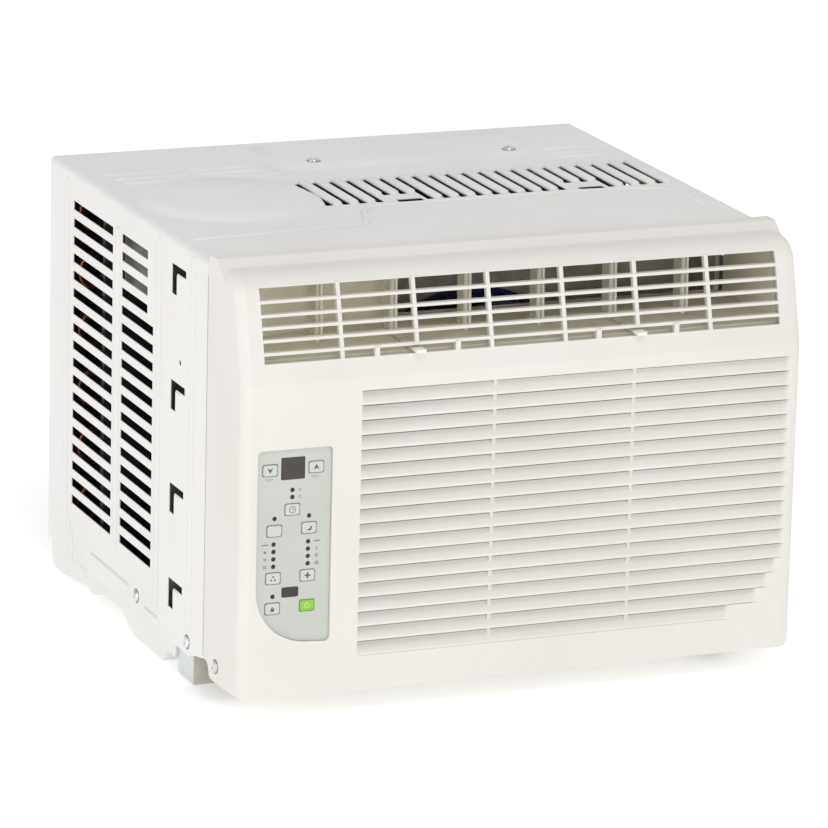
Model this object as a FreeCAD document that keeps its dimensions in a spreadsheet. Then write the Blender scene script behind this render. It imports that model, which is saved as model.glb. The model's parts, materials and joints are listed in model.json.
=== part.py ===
"""Window air conditioner: a parametric assembly of its separate pieces, written as STEP files.

Frame: X to the right seen from the room side, Y towards the outdoors, Z up, in millimetres.
The origin is the middle of the footprint on the surface that the unit stands on.
"""
import FreeCAD, Part
import math
import os
import re
import Sketcher
from FreeCAD import Placement, Rotation, Vector

SIZES = {
    # overall casing
    "case_half": 235, "case_top": 350, "case_rear": 230, "skirt": 23, "skin": 1, "joint": -151,
    "bend": 4, "screw_head": 2.4, "notch_top": 32,
    "slot_level": 318.3, "slot_step": 14.7, "slot_tall": 7.4, "hook_wide": 12.5, "hook_front": -81,
    "hole_front": -89.5, "hook_tall": 24,
    # front panel
    "face": -230, "chin": 19.4, "panel_low": 15, "panel_wall": 3, "crease": 270, "slant_back": -208.4,
    "brow": 22, "lip_top": 356, "side_round": 9,
    "outlet_half": 216, "outlet_low": 285.4, "outlet_high": 341, "slant": 0.27,
    "blade": 2.4, "grille_deep": 5, "divider": 3.2, "cell": 61.75, "first_divider": -152.5,
    "intake_left": -136, "intake_right": 222.5, "intake_first": 259.6, "intake_pitch": 11.8,
    "intake_gap": 4.2, "intake_rows": 18,
    # control area
    "panel_left": -221.9, "panel_right": -160.6, "panel_bottom": 62.5, "panel_top": 218.5,
    "recess": 3.2, "overlay": 0.8, "sweep": 44, "key_wide": 11.4, "key_tall": 8.5,
    "key_round": 1.8, "key_gap": 0.3, "key_proud": 0.6, "key_deep": 5.4, "led": 1.7,
    # base pan
    "pan_half": 233.8, "pan_front_half": 196, "pan_sheet": 1.2, "pan_rim": 40, "pan_step": -85,
    "pan_raise": 11.5, "pan_front": -149, "pan_arch": 12.5, "pan_lip": 22,
    # air moving parts
    "rotor_x": 25, "rotor_z": 188, "wheel": 100, "wheel_front": -108, "wheel_wide": 58,
    "fan": 138, "fan_front": 108, "fan_deep": 34, "shaft": 6, "motor": 60,
    "motor_front": -34, "motor_long": 78,
    # vanes
    "vane_pivot": -172, "vane_low": 289, "vane_high": 336, "vane_thick": 1.8, "pin": 2,
    "pin_gap": 0.08, "link_arm": 14, "link_pin": 1.5, "duct_floor": 286, "duct_roof": 342,
    "duct_half": 218, "duct_wall": 3, "duct_rear": -114, "duct_lip": -196.5,
    # coils
    "coil_tube": 4.8, "coil_wall": 0.8, "coil_pitch": 25, "evap_left": -126, "evap_right": 204,
    "evap_low": 42,
    "evap_high": 262, "evap_front": -148, "evap_deep": 30,
    "cond_left": -203, "cond_right": 208, "cond_low": 34, "cond_high": 338, "cond_front": 190,
    "cond_deep": 32,
    # refrigeration machine
    "comp_x": -150, "comp_y": 34, "comp": 57, "comp_low": 32, "comp_high": 270,
    # filter
    "filter_left": -132, "filter_right": 234, "filter_low": 47, "filter_high": 267,
    "filter_front": -201, "filter_thick": 6, "filter_bar": 8,
}

doc = FreeCAD.newDocument("window_air_conditioner")
sheet = doc.addObject("Spreadsheet::Sheet", "sizes")
for line, (alias, amount) in enumerate(SIZES.items(), start=1):
    sheet.set(f"A{line}", alias)
    sheet.set(f"B{line}", str(amount))
    sheet.setAlias(f"B{line}", alias)
doc.recompute()

nodes = {}


def size(alias):
    """Read a driving dimension back from the sheet."""
    return float(sheet.get(alias))


def formula(text):
    """Point every size named in an expression at the sheet."""
    return re.sub(r"[a-z_]+", lambda word: "sizes." + word[0] if word[0] in SIZES else word[0], str(text))


def tie(item, **bindings):
    """Bind properties of an object to expressions; a double underscore stands for a dot."""
    for name, text in bindings.items():
        item.setExpression(name.replace("__", "."), formula(text))
    return item


def node(name, item):
    """Register the finished sub-part under the name of its file."""
    item.Label = name
    nodes[name] = item
    return item


def place(item, corner, turn=None):
    """Put an object at a place given by three expressions, after turning it."""
    if turn is not None:
        item.Placement = Placement(Vector(), turn)
    return tie(item, Placement__Base__x=corner[0], Placement__Base__y=corner[1], Placement__Base__z=corner[2])


def box(name, corner, extent):
    """A block from its low corner and its three lengths."""
    item = doc.addObject("Part::Box", name)
    tie(item, Length=extent[0], Width=extent[1], Height=extent[2])
    return place(item, corner)


TURNS = {"X": Rotation(Vector(0, 1, 0), 90), "Y": Rotation(Vector(1, 0, 0), -90), "Z": Rotation()}


def rod(name, base, axis, radius, length):
    """A round bar that starts at base and runs along a row axis."""
    item = doc.addObject("Part::Cylinder", name)
    tie(item, Radius=radius, Height=length)
    return place(item, base, TURNS[axis])


def fuse(name, items):
    """Join several solids into one."""
    joined = doc.addObject("Part::MultiFuse", name)
    joined.Shapes = list(items)
    joined.Refine = True
    return joined


def group(name, items):
    """Keep several separate solids together, as identical fasteners are."""
    together = doc.addObject("Part::Compound", name)
    together.Links = list(items)
    return together


def cut(name, base, tools):
    """Take one or more tools away from a base."""
    tools = list(tools)
    result = doc.addObject("Part::Cut", name)
    result.Base = base
    result.Tool = tools[0] if len(tools) == 1 else fuse(name + "_tools", tools)
    return result


def sketch_in(owner, name, plane, offset):
    """A sketch attached to one of a body's own planes, moved along the plane's normal."""
    drawing = owner.newObject("Sketcher::SketchObject", name)
    support = [item for item in owner.Origin.OriginFeatures if item.Role == plane + "_Plane"]
    drawing.AttachmentSupport = [(support[0], "")]
    drawing.MapMode = "FlatFace"
    sign = "-" if plane == "XZ" else ""
    return tie(drawing, AttachmentOffset__Base__z=f"{sign}({offset})")


def draw_polygon(drawing, points):
    """Close a chain of lines whose every vertex is bound to the sheet."""
    count = len(points)
    ring = [Vector(100 * math.cos(6.283 * i / count), 100 * math.sin(6.283 * i / count), 0)
            for i in range(count)]
    for i in range(count):
        drawing.addGeometry(Part.LineSegment(ring[i], ring[(i + 1) % count]))
    for i in range(count):
        drawing.addConstraint(Sketcher.Constraint("Coincident", i, 2, (i + 1) % count, 1))
    for i, (across, up) in enumerate(points):
        for letter, kind, start, text in (("x", "DistanceX", ring[i].x, across),
                                          ("y", "DistanceY", ring[i].y, up)):
            index = drawing.addConstraint(Sketcher.Constraint(kind, -1, 1, i, 1, start))
            drawing.renameConstraint(index, f"{letter}{i}")
            drawing.setExpression(f"Constraints.{letter}{i}", formula(text))


def prism(name, plane, points, start, length, rounds=()):
    """A padded outline with some of its long edges rounded.

    On XY and YZ the outline starts at start and grows along the positive normal. On XZ it starts
    at its rear plane and grows towards the room. rounds lists (vertex indices, radius) pairs.
    """
    owner = doc.addObject("PartDesign::Body", name)
    drawing = sketch_in(owner, name + "_outline", plane, start)
    draw_polygon(drawing, points)
    pad = owner.newObject("PartDesign::Pad", name + "_pad")
    pad.Profile = drawing
    tie(pad, Length=length)
    if rounds:
        doc.recompute()
    for step, (corners, radius) in enumerate(rounds):
        base = owner.Tip
        wanted = [drawing.Placement.multVec(Vector(*drawing.getPoint(i, 1)[:2], 0)) for i in corners]
        along = {"XY": Vector(0, 0, 1), "XZ": Vector(0, 1, 0), "YZ": Vector(1, 0, 0)}[plane]
        edges = []
        for number, edge in enumerate(base.Shape.Edges, start=1):
            for spot in wanted:
                ends = [(vertex.Point - spot) - along * (vertex.Point - spot).dot(along)
                        for vertex in edge.Vertexes]
                if len(ends) == 2 and all(gap.Length < 0.01 for gap in ends):
                    edges.append(f"Edge{number}")
        fillet = owner.newObject("PartDesign::Fillet", f"{name}_round_{step}")
        fillet.Base = (base, edges)
        tie(fillet, Radius=radius)
        doc.recompute()
    return owner


def lathe(name, axis_place, axis, points):
    """A revolved outline of (radius, along) points about a row axis through a place."""
    owner = doc.addObject("PartDesign::Body", name)
    drawing = sketch_in(owner, name + "_outline", "XZ", "0")
    draw_polygon(drawing, points)
    turned = owner.newObject("PartDesign::Revolution", name + "_turned")
    turned.Profile = drawing
    turned.ReferenceAxis = (drawing, ["V_Axis"])
    turned.Angle = 360
    return place(owner, axis_place, {"Z": Rotation(), "Y": Rotation(Vector(1, 0, 0), -90)}[axis])


def solid(name, shape):
    """A shape that neither a body nor the primitives can give, sized from the sheet."""
    item = doc.addObject("Part::Feature", name)
    item.Shape = shape
    return item


def pipe(name, route, radius, bend):
    """A tube along straight runs joined by tangent arcs of one bend radius."""
    edges = []
    here = Vector(*route[0])
    for i in range(1, len(route) - 1):
        corner = Vector(*route[i])
        back = (Vector(*route[i - 1]) - corner).normalize()
        ahead = (Vector(*route[i + 1]) - corner).normalize()
        turn = math.pi - back.getAngle(ahead)
        trim = bend * math.tan(turn / 2)
        first = corner + back * trim
        last = corner + ahead * trim
        inward = (back + ahead).normalize()
        middle = corner + inward * (bend / math.cos(turn / 2) - bend)
        edges.append(Part.LineSegment(here, first).toShape())
        edges.append(Part.Arc(first, middle, last).toShape())
        here = last
    edges.append(Part.LineSegment(here, Vector(*route[-1])).toShape())
    path = Part.Wire(edges)
    ring = Part.Wire(Part.Circle(Vector(*route[0]), Vector(*route[1]) - Vector(*route[0]), radius).toShape())
    return solid(name, path.makePipeShell([ring], True, False))


# ---------------------------------------------------------------- base pan and sheet casing

def base_pan():
    """Stamped tray: two low pads carry the unit, and the front tongue is narrower and higher."""
    rear = "case_rear - skin - 0.2"
    low = [("pan_step", "pan_raise"), ("-66", "pan_raise"), ("-54", "0"), ("12", "0"), ("25", "3.5"),
           ("36", "10"), ("45", "pan_arch"), ("93", "pan_arch"), ("108", "6.5"), ("122", "5"),
           ("128", "8"), ("152", "5.5"), ("164", "2.5"), ("177", "2.5"), ("190", "0"),
           (f"{rear} - 6", "0"), (f"{rear} - 6", "pan_lip")]
    last = len(low) - 2
    outer = prism("pan_outer", "YZ", low + [(rear, "pan_lip"), (rear, "pan_rim"), ("pan_step", "pan_rim")],
                  "-pan_half", "2 * pan_half", [([0], "4"), ([last], "9")])
    inset = [(f"({y}) + pan_sheet" if y == "pan_step" else y, f"{z} + pan_sheet") for y, z in low[:last]]
    inset += [(f"{rear} - 6 - pan_sheet", "pan_sheet"), (f"{rear} - 6 - pan_sheet", "pan_lip + pan_sheet"),
              (f"{rear} - pan_sheet", "pan_lip + pan_sheet"), (f"{rear} - pan_sheet", "pan_rim + 1"),
              ("pan_step + pan_sheet", "pan_rim + 1")]
    inner = prism("pan_inner", "YZ", inset, "pan_sheet - pan_half", "2 * pan_half - 2 * pan_sheet",
                  [([last], "8")])
    tongue = box("pan_tongue", ("-pan_front_half", "pan_front", "pan_raise"),
                 ("2 * pan_front_half", "pan_step - pan_front + 3", "pan_rim - pan_raise"))
    trough = box("pan_trough", ("pan_sheet - pan_front_half", "pan_front + pan_sheet",
                                "pan_raise + pan_sheet"),
                 ("2 * pan_front_half - 2 * pan_sheet", "pan_step - pan_front + 4", "pan_rim"))
    drain = rod("pan_drain", ("120", "66", "-1"), "Z", "6", "30")
    studs = []
    for i, a in enumerate((30, 150, 270)):
        root = "0.2" if a == 270 else "pan_arch + 0.2"
        studs.append(rod(f"pan_stud_{i}", (f"comp_x + 50 * cos({a})", f"comp_y + 50 * sin({a})", root), "Z",
                         "3", f"36 - ({root})"))
    tray = cut("pan_tray", fuse("pan_blank", [outer, tongue]), [inner, trough, drain])
    node("base_pan", fuse("base_pan", [tray] + studs))


def side_slots():
    """Two banks of eighteen louvres, cut through both sides at once."""
    slots = []
    for row in range(18):
        level = f"slot_level - slot_step * {row}"
        start = "-12" if row < 4 else "-26"
        for bank, first, end in (("rear", "72", "170.5"), ("mid", start, "49.9")):
            slots.append(box(f"slot_{bank}_{row}", ("-case_half - 5", first, level),
                             ("2 * case_half + 10", f"{end} - ({first})", "slot_tall")))
    return slots


def top_slots():
    """Twenty-one louvres across the top, four of them shortened by two windows."""
    slots = []
    for column in range(21):
        short = column in (4, 5, 15, 16)
        start = "20" if short else "-2.5"
        slots.append(box(f"slot_top_{column}", (f"-80.6 + 14.51 * {column}", start, "case_top - 3"),
                         ("6.4", f"77.5 - ({start})", "8")))
    for side, start in enumerate(("-19", "140")):
        slots.append(box(f"window_top_{side}", (start, "-12", "case_top - 3"), ("22", "16", "8")))
    return slots


def hook_slots():
    """Four L-shaped cuts near the front of each side, and one screw hole between them."""
    cuts = []
    for step, high in enumerate((329.5, 236, 152, 74)):
        cuts.append(box(f"hook_slit_{step}", ("-case_half - 5", "hook_front", f"{high} - hook_tall"),
                        ("2 * case_half + 10", "hook_wide", "hook_tall")))
        cuts.append(box(f"hook_wedge_{step}", ("-case_half - 5", "hook_front - 20", f"{high} - 6"),
                        ("2 * case_half + 10", "24", "6")))
    cuts.append(rod("side_hole", ("-case_half - 5", "hole_front", "254"), "X", "2.2", "2 * case_half + 10"))
    return cuts


def cabinet_shell():
    """Folded sheet wrapper with a rear frame, louvres, hook slots and a raised round on top."""
    corners = [("-case_half", "skirt"), ("case_half", "skirt"), ("case_half", "case_top"),
               ("-case_half", "case_top")]
    outer = prism("shell_outer", "XZ", corners, "case_rear", "case_rear - joint", [([2, 3], "bend")])
    inside = [("skin - case_half", "skirt - 5"), ("case_half - skin", "skirt - 5"),
              ("case_half - skin", "case_top - skin"), ("skin - case_half", "case_top - skin")]
    inner = prism("shell_inner", "XZ", inside, "case_rear - skin", "case_rear - skin - joint + 5",
                  [([2, 3], "bend - skin")])
    dome = rod("shell_dome", ("comp_x", "comp_y", "case_top - 0.5"), "Z", "64", "3.5")
    hollow = rod("shell_hollow", ("comp_x", "comp_y", "case_top - skin - 1"), "Z", "63", "3.5")
    opening = box("shell_opening", ("-216", "case_rear - 5", "44"), ("432", "10", "292"))
    notch = prism("shell_notch", "YZ", [("-121.5", "skirt - 5"), ("-121.5", "skirt + 1"),
                                        ("-134", "notch_top - 4"),
                                        ("joint - 5", "notch_top"), ("joint - 5", "skirt - 5")],
                  "-case_half - 5", "2 * case_half + 10")
    tools = [inner, hollow, opening, notch] + side_slots() + top_slots() + hook_slots()
    node("cabinet_shell", cut("cabinet_shell", fuse("shell_blank", [outer, dome]), tools))


def sill_bracket(side, sign):
    """Angle under each front corner of the casing: a side flange, a gusset and a front plate."""
    base = "-231.8" if sign < 0 else "230.3"
    web = prism(f"bracket_web_{side}", "YZ",
                [("-192", "notch_top + 1"), ("-121.5", "notch_top + 1"), ("-121.5", "0"), ("-86", "0"),
                 ("-86", "40"), ("-192", "40")], base, "1.5", [([3], "5")])
    start = "-231.8" if sign < 0 else "201.8"
    foot = box(f"bracket_foot_{side}", (start, "-121.5", "0"), ("30", "1.5", "25"))
    hole = rod(f"bracket_hole_{side}", (f"{sign} * 216", "-125", "9"), "Y", "3", "8")
    name = f"sill_bracket_{side}"
    node(name, cut(name, fuse(f"bracket_{side}", [web, foot]), [hole]))


# ---------------------------------------------------------------- front panel

def slant_y(height, inset=0):
    """Depth of the slanted face at a height, as an expression."""
    return f"face + slant * ({height} - crease) + {inset}"


def panel_outline(inset):
    """Side outline of the panel, moved inwards by a wall thickness."""
    return [(f"face + {inset}", f"chin + {inset}"), (f"face + {inset}", "crease"),
            (f"slant_back + {inset}", f"case_top - {inset}"),
            ("-178", f"case_top - {inset}"), ("-170", f"lip_top - {inset}"), ("-156", f"lip_top - {inset}"),
            ("joint - 0.3", f"case_top + 2 - {inset}"), ("joint - 0.3", f"panel_low + {inset}"),
            ("-186", f"panel_low + {inset}")]


def outlet_grille():
    """Fixed bars of the air outlet: five blades, six dividers and four short posts."""
    bars = []
    for row, level in enumerate((330.7, 320.5, 311.3, 302, 292.5)):
        bars.append(box(f"blade_{row}", ("-outlet_half - 1", slant_y(level), f"{level} - blade / 2"),
                        ("2 * outlet_half + 2", "grille_deep", "blade")))
    for column in range(6):
        low = "291.5" if column in (1, 4) else "outlet_low - 1"
        shape = [(slant_y(low), low), (slant_y(low, "grille_deep"), low),
                 (slant_y("outlet_high + 1", "grille_deep"), "outlet_high + 1"),
                 (slant_y("outlet_high + 1"), "outlet_high + 1")]
        bars.append(prism(f"divider_{column}", "YZ", shape, f"first_divider + cell * {column} - divider / 2",
                          "divider"))
    for step, across in enumerate((-124.2, -57.5, 60.6, 126.8)):
        bars.append(box(f"post_{step}", (f"{across} - 2", slant_y("outlet_low"), "outlet_low - 1"),
                        ("4", "6", "8")))
    return bars


def intake_slots():
    """Eighteen horizontal gaps; the lowest four shorten along a round corner."""
    ends = {14: "217", 15: "210", 16: "201", 17: "177"}
    return [box(f"intake_{row}", ("intake_left", "face - 5",
                                  f"intake_first - intake_pitch * {row} - intake_gap / 2"),
                (f"{ends.get(row, 'intake_right')} - intake_left", "12", "intake_gap")) for row in range(18)]


KEYS = {"temp_down": (-211, 202.3), "temp_up": (-173.3, 202.4), "timer": (-192.3, 170.1),
        "energy": (-206.7, 154), "sleep": (-178.4, 154.4), "mode": (-207.1, 116.2), "fan": (-179, 116.5),
        "lock": (-207.3, 92), "power": (-179, 92.4)}
LAMPS = [(-192.4, 185.5), (-192.4, 179.9), (-206.6, 163.7), (-178.4, 164), (-207.1, 101.6)]
LAMPS += [(-207, 143.3 - 5.9 * step) for step in range(4)] + [(-178.8, 143.5 - 5.87 * step)
                                                              for step in range(4)]


def control_openings(prefix, gap):
    """Tools that open the key, lamp and window holes with a gap round each."""
    tools = []
    for name, (across, up) in KEYS.items():
        tools.append(box(f"{prefix}_{name}", (f"{across} - key_wide / 2 - {gap}", "face - 5",
                                             f"{up} - key_tall / 2 - {gap}"),
                         (f"key_wide + 2 * {gap}", "15", f"key_tall + 2 * {gap}")))
    for step, (across, up) in enumerate(LAMPS):
        tools.append(rod(f"{prefix}_lamp_{step}", (str(across), "face - 5", str(up)), "Y",
                         f"led + {gap} / 3", "15"))
    tools.append(box(f"{prefix}_display", ("-201.2", "face - 5", "194.5"), ("18.3", "15", "16.5")))
    tools.append(box(f"{prefix}_receiver", ("-199.8", "face - 5", "100.3"), ("13.6", "15", "7.8")))
    return tools


def control_outline(grow):
    """Corners of the control area; the last one, low on the left, takes the large sweep."""
    return [(f"panel_right + {grow}", f"panel_bottom - {grow}"),
            (f"panel_right + {grow}", f"panel_top + {grow}"),
            (f"panel_left - {grow}", f"panel_top + {grow}"),
            (f"panel_left - {grow}", f"panel_bottom + 4 - {grow}")]


def front_panel():
    """Moulded front with the outlet grille, the intake grille and the control recess."""
    outer = prism("panel_outer", "YZ", panel_outline("0"), "-case_half", "2 * case_half",
                  [([0], "4"), ([1], "7"), ([2], "brow"), ([4, 5], "2.5")])
    inner = prism("panel_inner", "YZ", panel_outline("panel_wall")[:6] + [
        ("joint + 5", "case_top + 2 - panel_wall"), ("joint + 5", "panel_low + panel_wall"),
        ("-186", "panel_low + panel_wall")],
        "panel_wall - case_half", "2 * case_half - 2 * panel_wall", [([2], "brow - panel_wall")])
    doc.recompute()
    rounded = doc.addObject("Part::Fillet", "panel_rounded")
    rounded.Base = outer
    chosen = []
    for number, edge in enumerate(outer.Shape.Edges, start=1):
        bounds = edge.BoundBox
        at_side = abs(abs(bounds.Center.x) - size("case_half")) < 0.01 and bounds.XLength < 0.01
        if at_side and bounds.YMax < -205 and bounds.ZMin > 21 and bounds.ZLength > 3:
            chosen.append((number, size("side_round"), size("side_round")))
    rounded.Edges = chosen
    outlet = box("outlet_cut", ("-outlet_half", "face - 5", "outlet_low"),
                 ("2 * outlet_half", "35", "outlet_high - outlet_low"))
    backing = box("recess_backing", ("panel_left - 4", "face", "panel_bottom - 4"),
                  ("panel_right - panel_left + 8", "recess + 2", "panel_top - panel_bottom + 8"))
    recess = prism("recess_cut", "XZ", control_outline("0"), "face + recess", "recess + 5",
                   [([0, 1, 2], "4"), ([3], "sweep")])
    notches = [prism(f"panel_notch_{side}", "YZ", [("joint + 5", "panel_low - 5"), ("joint + 5", "notch_top"),
                                                   ("-164", "notch_top"), ("-164", "panel_low - 5")],
                     start, "40", [([2], "8")])
               for side, start in (("left", "-case_half - 5"), ("right", "case_half - 35"))]
    hollow = cut("panel_hollow", inner, [backing])
    slot = box("filter_slot", ("case_half - 8", "filter_front - 1", "filter_low - 1"),
               ("16", "filter_thick + 2", "filter_high - filter_low + 2"))
    gland = rod("gland_cut", ("190", "-172", "panel_low - 2"), "Z", "8", "8")
    tools = [hollow, outlet, recess, slot, gland] + notches + intake_slots()
    tools += control_openings("panel_hole", "key_gap * 2")
    shell = cut("panel_shell", rounded, tools)
    ribs = [box(f"intake_rib_{i}", (x, "face + 1", "50"), ("3", "4", "216")) for i,
            x in enumerate(("-27.5", "90"))]
    rails = []
    for name, low in (("low", "filter_low - 3"), ("high", "filter_high + 1")):
        for side, depth in (("front", "filter_front - 2.5"), ("rear", "filter_front + filter_thick + 0.5")):
            rails.append(box(f"rail_{name}_{side}", ("-134", depth, "filter_low - 3" if name == "low" else
                                                     "filter_high - 6"), ("366.5", "2", "9")))
    backs = [box(f"rail_web_{i}", ("-134", "filter_front - 2.5", low), ("366.5", "11", "2"))
             for i, low in enumerate(("filter_low - 3", "filter_high + 1"))]
    stop = box("rail_stop", ("-136", "filter_front - 2.5", "filter_low - 3"),
               ("2.5", "11", "filter_high - filter_low + 6"))
    node("front_panel", fuse("front_panel", [shell] + outlet_grille() + ribs + rails + backs + [stop]))


# ---------------------------------------------------------------- controls

def controls():
    """Overlay, windows, lamps, circuit board and its box behind the front panel."""
    sheet_part = prism("overlay_blank", "XZ", control_outline("-0.25"), "face + recess", "overlay",
                       [([0, 1, 2], "3.8"), ([3], "sweep")])
    node("control_overlay", cut("control_overlay", sheet_part, control_openings("overlay_hole", "key_gap")))
    node("display_window", box("display_window", ("-201", "face + recess - overlay", "194.7"),
                               ("17.9", "2.6", "16.1")))
    node("receiver_window", box("receiver_window", ("-199.6", "face + recess - overlay", "100.5"),
                                ("13.2", "2.6", "7.4")))
    lamps = [rod(f"lamp_{i}", (str(x), "face + recess - overlay - 0.1", str(z)), "Y", "led", "7.7")
             for i, (x, z) in enumerate(LAMPS)]
    node("indicator_lamps", group("indicator_lamps", lamps))
    node("control_board", box("control_board", ("-226", "face + 10.1", "60"), ("80", "1.6", "164")))
    case_outer = box("control_box_outer", ("-230", "-215", "44"), ("90", "56", "192"))
    case_inner = box("control_box_inner", ("-228", "-216", "46"), ("86", "55", "188"))
    node("control_box", cut("control_box", case_outer, [case_inner]))
    parts = [box("relay_block", ("-222", "-218.2", "66"), ("20", "16", "16")),
             box("transformer", ("-195", "-218.2", "66"), ("38", "30", "32")),
             box("connector_block", ("-222", "-218.2", "196"), ("64", "10", "8"))]
    node("board_parts", group("board_parts", parts))
    capacitor = rod("capacitor_can", ("-186", "-178", "140"), "Z", "16", "70")
    tabs = [box(f"capacitor_tab_{i}", (f"-190 + {6 * i}", "-180", "209"), ("2", "5", "8")) for i in range(2)]
    node("run_capacitor", fuse("run_capacitor", [capacitor] + tabs))


def key_caps():
    """Nine sprung keys that stand a little proud of the overlay."""
    for name, (across, up) in KEYS.items():
        left, low = f"{across} - key_wide / 2", f"{up} - key_tall / 2"
        right, high = f"{across} + key_wide / 2", f"{up} + key_tall / 2"
        cap = prism(f"key_{name}", "XZ", [(left, low), (right, low), (right, high), (left, high)],
                    "face + recess - overlay - key_proud + key_deep", "key_deep",
                    [([0, 1, 2, 3], "key_round")])
        node(f"key_{name}", cap)


# ---------------------------------------------------------------- air outlet

def discharge_duct():
    """Liner between the blower mouth and the grille, with a slanting wall on the closed side."""
    side = [("-216.4", "duct_floor - duct_wall"), ("duct_rear", "duct_floor - duct_wall"),
            ("duct_rear", "duct_roof + duct_wall"), ("duct_lip", "duct_roof + duct_wall")]
    outer = prism("duct_outer", "YZ", side, "-duct_half - duct_wall", "2 * (duct_half + duct_wall)")
    inner = box("duct_inner", ("-duct_half", "-240", "duct_floor"),
                ("2 * duct_half", "140", "duct_roof - duct_floor"))
    wall = prism("duct_slope", "XY", [("-duct_half - 1", "-154"), ("-66", "duct_rear - 2"),
                                      ("-66", "duct_rear"),
                                      ("-duct_half - 1", "-152")], "duct_floor - 1",
                                      "duct_roof - duct_floor + 2")
    holes = [rod(f"pivot_hole_{i}", (f"first_divider + cell * {i}", "vane_pivot", "duct_floor - 8"), "Z",
                 "pin + pin_gap", "80") for i in range(6)]
    lined = fuse("duct_lined", [cut("duct_tube", outer, [inner]), wall])
    node("discharge_duct", cut("discharge_duct", lined, holes))


def vane(index):
    """Upright vane on two pins; the lead vane of each group of three carries the finger tab."""
    middle = f"first_divider + cell * {index}"
    blade = prism(f"vane_blade_{index}", "YZ",
                  [("vane_pivot - 8", "vane_low"), ("vane_pivot + 17", "vane_low"),
                   ("vane_pivot + 18", "vane_high"), ("vane_pivot - 6", "vane_high")],
                  f"{middle} - vane_thick / 2", "vane_thick", [([2], "3")])
    pieces = [blade,
              rod(f"vane_hub_{index}", (middle, "vane_pivot", "vane_low"), "Z", "3", "vane_high - vane_low"),
              rod(f"vane_pin_{index}", (middle, "vane_pivot", "duct_floor - 2.5"), "Z", "pin",
                  "duct_roof - duct_floor + 5"),
              rod(f"vane_drive_{index}", (middle, "vane_pivot + link_arm", "duct_floor + 0.6"), "Z",
                  "link_pin",
                  "vane_low - duct_floor + 2")]
    if index in (1, 4):
        pieces.append(box(f"vane_tab_{index}", (f"{middle} - 4", "-case_rear - screw_head",
                                                "duct_floor + 0.9"),
                          ("8", "case_rear + screw_head - 199", "2.5")))
        pieces.append(box(f"vane_root_{index}", (f"{middle} - 1.6", "-209", "duct_floor + 1"),
                          ("3.2", "vane_pivot + 207", "4")))
    name = f"vane_{index + 1}"
    node(name, fuse(name, pieces))


def vane_link(side, first):
    """Flat bar that ties three vanes together at their drive pins."""
    start = f"first_divider + cell * {first}"
    bar = box(f"link_bar_{side}", (f"{start} - 5", "vane_pivot + link_arm - 3.5", "duct_floor + 0.5"),
              ("2 * cell + 10", "7", "2"))
    holes = [rod(f"link_hole_{side}_{i}", (f"{start} + cell * {i}", "vane_pivot + link_arm",
                                           "duct_floor - 1"), "Z",
                 "link_pin + pin_gap", "6") for i in range(3)]
    name = f"vane_link_{side}"
    node(name, cut(name, bar, holes))


# ---------------------------------------------------------------- blower, fan and motor

def scroll_housing():
    """Moulded volute round the blower wheel, with a round inlet and a wide mouth to the duct."""
    outer = box("scroll_outer", ("-100", "-112", "72"), ("316", "69", "273"))
    volute = rod("scroll_volute", ("rotor_x", "-109", "rotor_z"), "Y", "wheel + 8", "63")
    throat = box("scroll_throat", ("-64", "-109", "rotor_z + 30"), ("276", "63", "341 - rotor_z - 30"))
    mouth = box("scroll_mouth", ("-64", "-120", "duct_floor + 1"), ("276", "20", "54"))
    inlet = rod("scroll_inlet", ("rotor_x", "-120", "rotor_z"), "Y", "wheel * 0.72", "20")
    bore = rod("scroll_bore", ("rotor_x", "-60", "rotor_z"), "Y", "18", "30")
    node("scroll_housing", cut("scroll_housing", outer, [volute, throat, mouth, inlet, bore]))


def bulkhead():
    """Sheet wall between the room side and the outdoor side."""
    plate = box("bulkhead_plate", ("-232", "-42", "14"), ("464", "1.2", "334"))
    hole = rod("bulkhead_hole", ("rotor_x", "-50", "rotor_z"), "Y", "18", "20")
    node("bulkhead", cut("bulkhead", plate, [hole]))


def blower_wheel():
    """Forward-curved wheel: back plate with a hub, a front ring and a cage of blades."""
    centre = ("rotor_x", "wheel_front", "rotor_z")
    plate = lathe("wheel_plate", centre, "Y", [("shaft", "wheel_wide - 2"), ("wheel", "wheel_wide - 2"),
                                              ("wheel", "wheel_wide"), ("shaft", "wheel_wide")])
    hub = lathe("wheel_hub", centre, "Y", [("shaft", "26"), ("14", "26"), ("18", "wheel_wide"),
                                           ("shaft", "wheel_wide")])
    ring = lathe("wheel_ring", centre, "Y", [("wheel - 15", "0"), ("wheel", "0"), ("wheel", "3"),
                                             ("wheel - 15", "3")])
    blades = []
    for step in range(36):
        turn = 10 * step
        blade = doc.addObject("Part::Box", f"wheel_blade_{step}")
        tie(blade, Length="13", Width="wheel_wide - 1", Height="1.4")
        blade.Placement = Placement(Vector(), Rotation(Vector(0, 1, 0), turn - 25))
        place_angle = f"{turn}"
        blades.append(tie(blade, Placement__Base__x=f"rotor_x + (wheel - 14) * cos({place_angle})",
                          Placement__Base__y="wheel_front + 0.5",
                          Placement__Base__z=f"rotor_z - (wheel - 14) * sin({place_angle})"))
    node("blower_wheel", fuse("blower_wheel", [plate, hub, ring] + blades))


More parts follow.
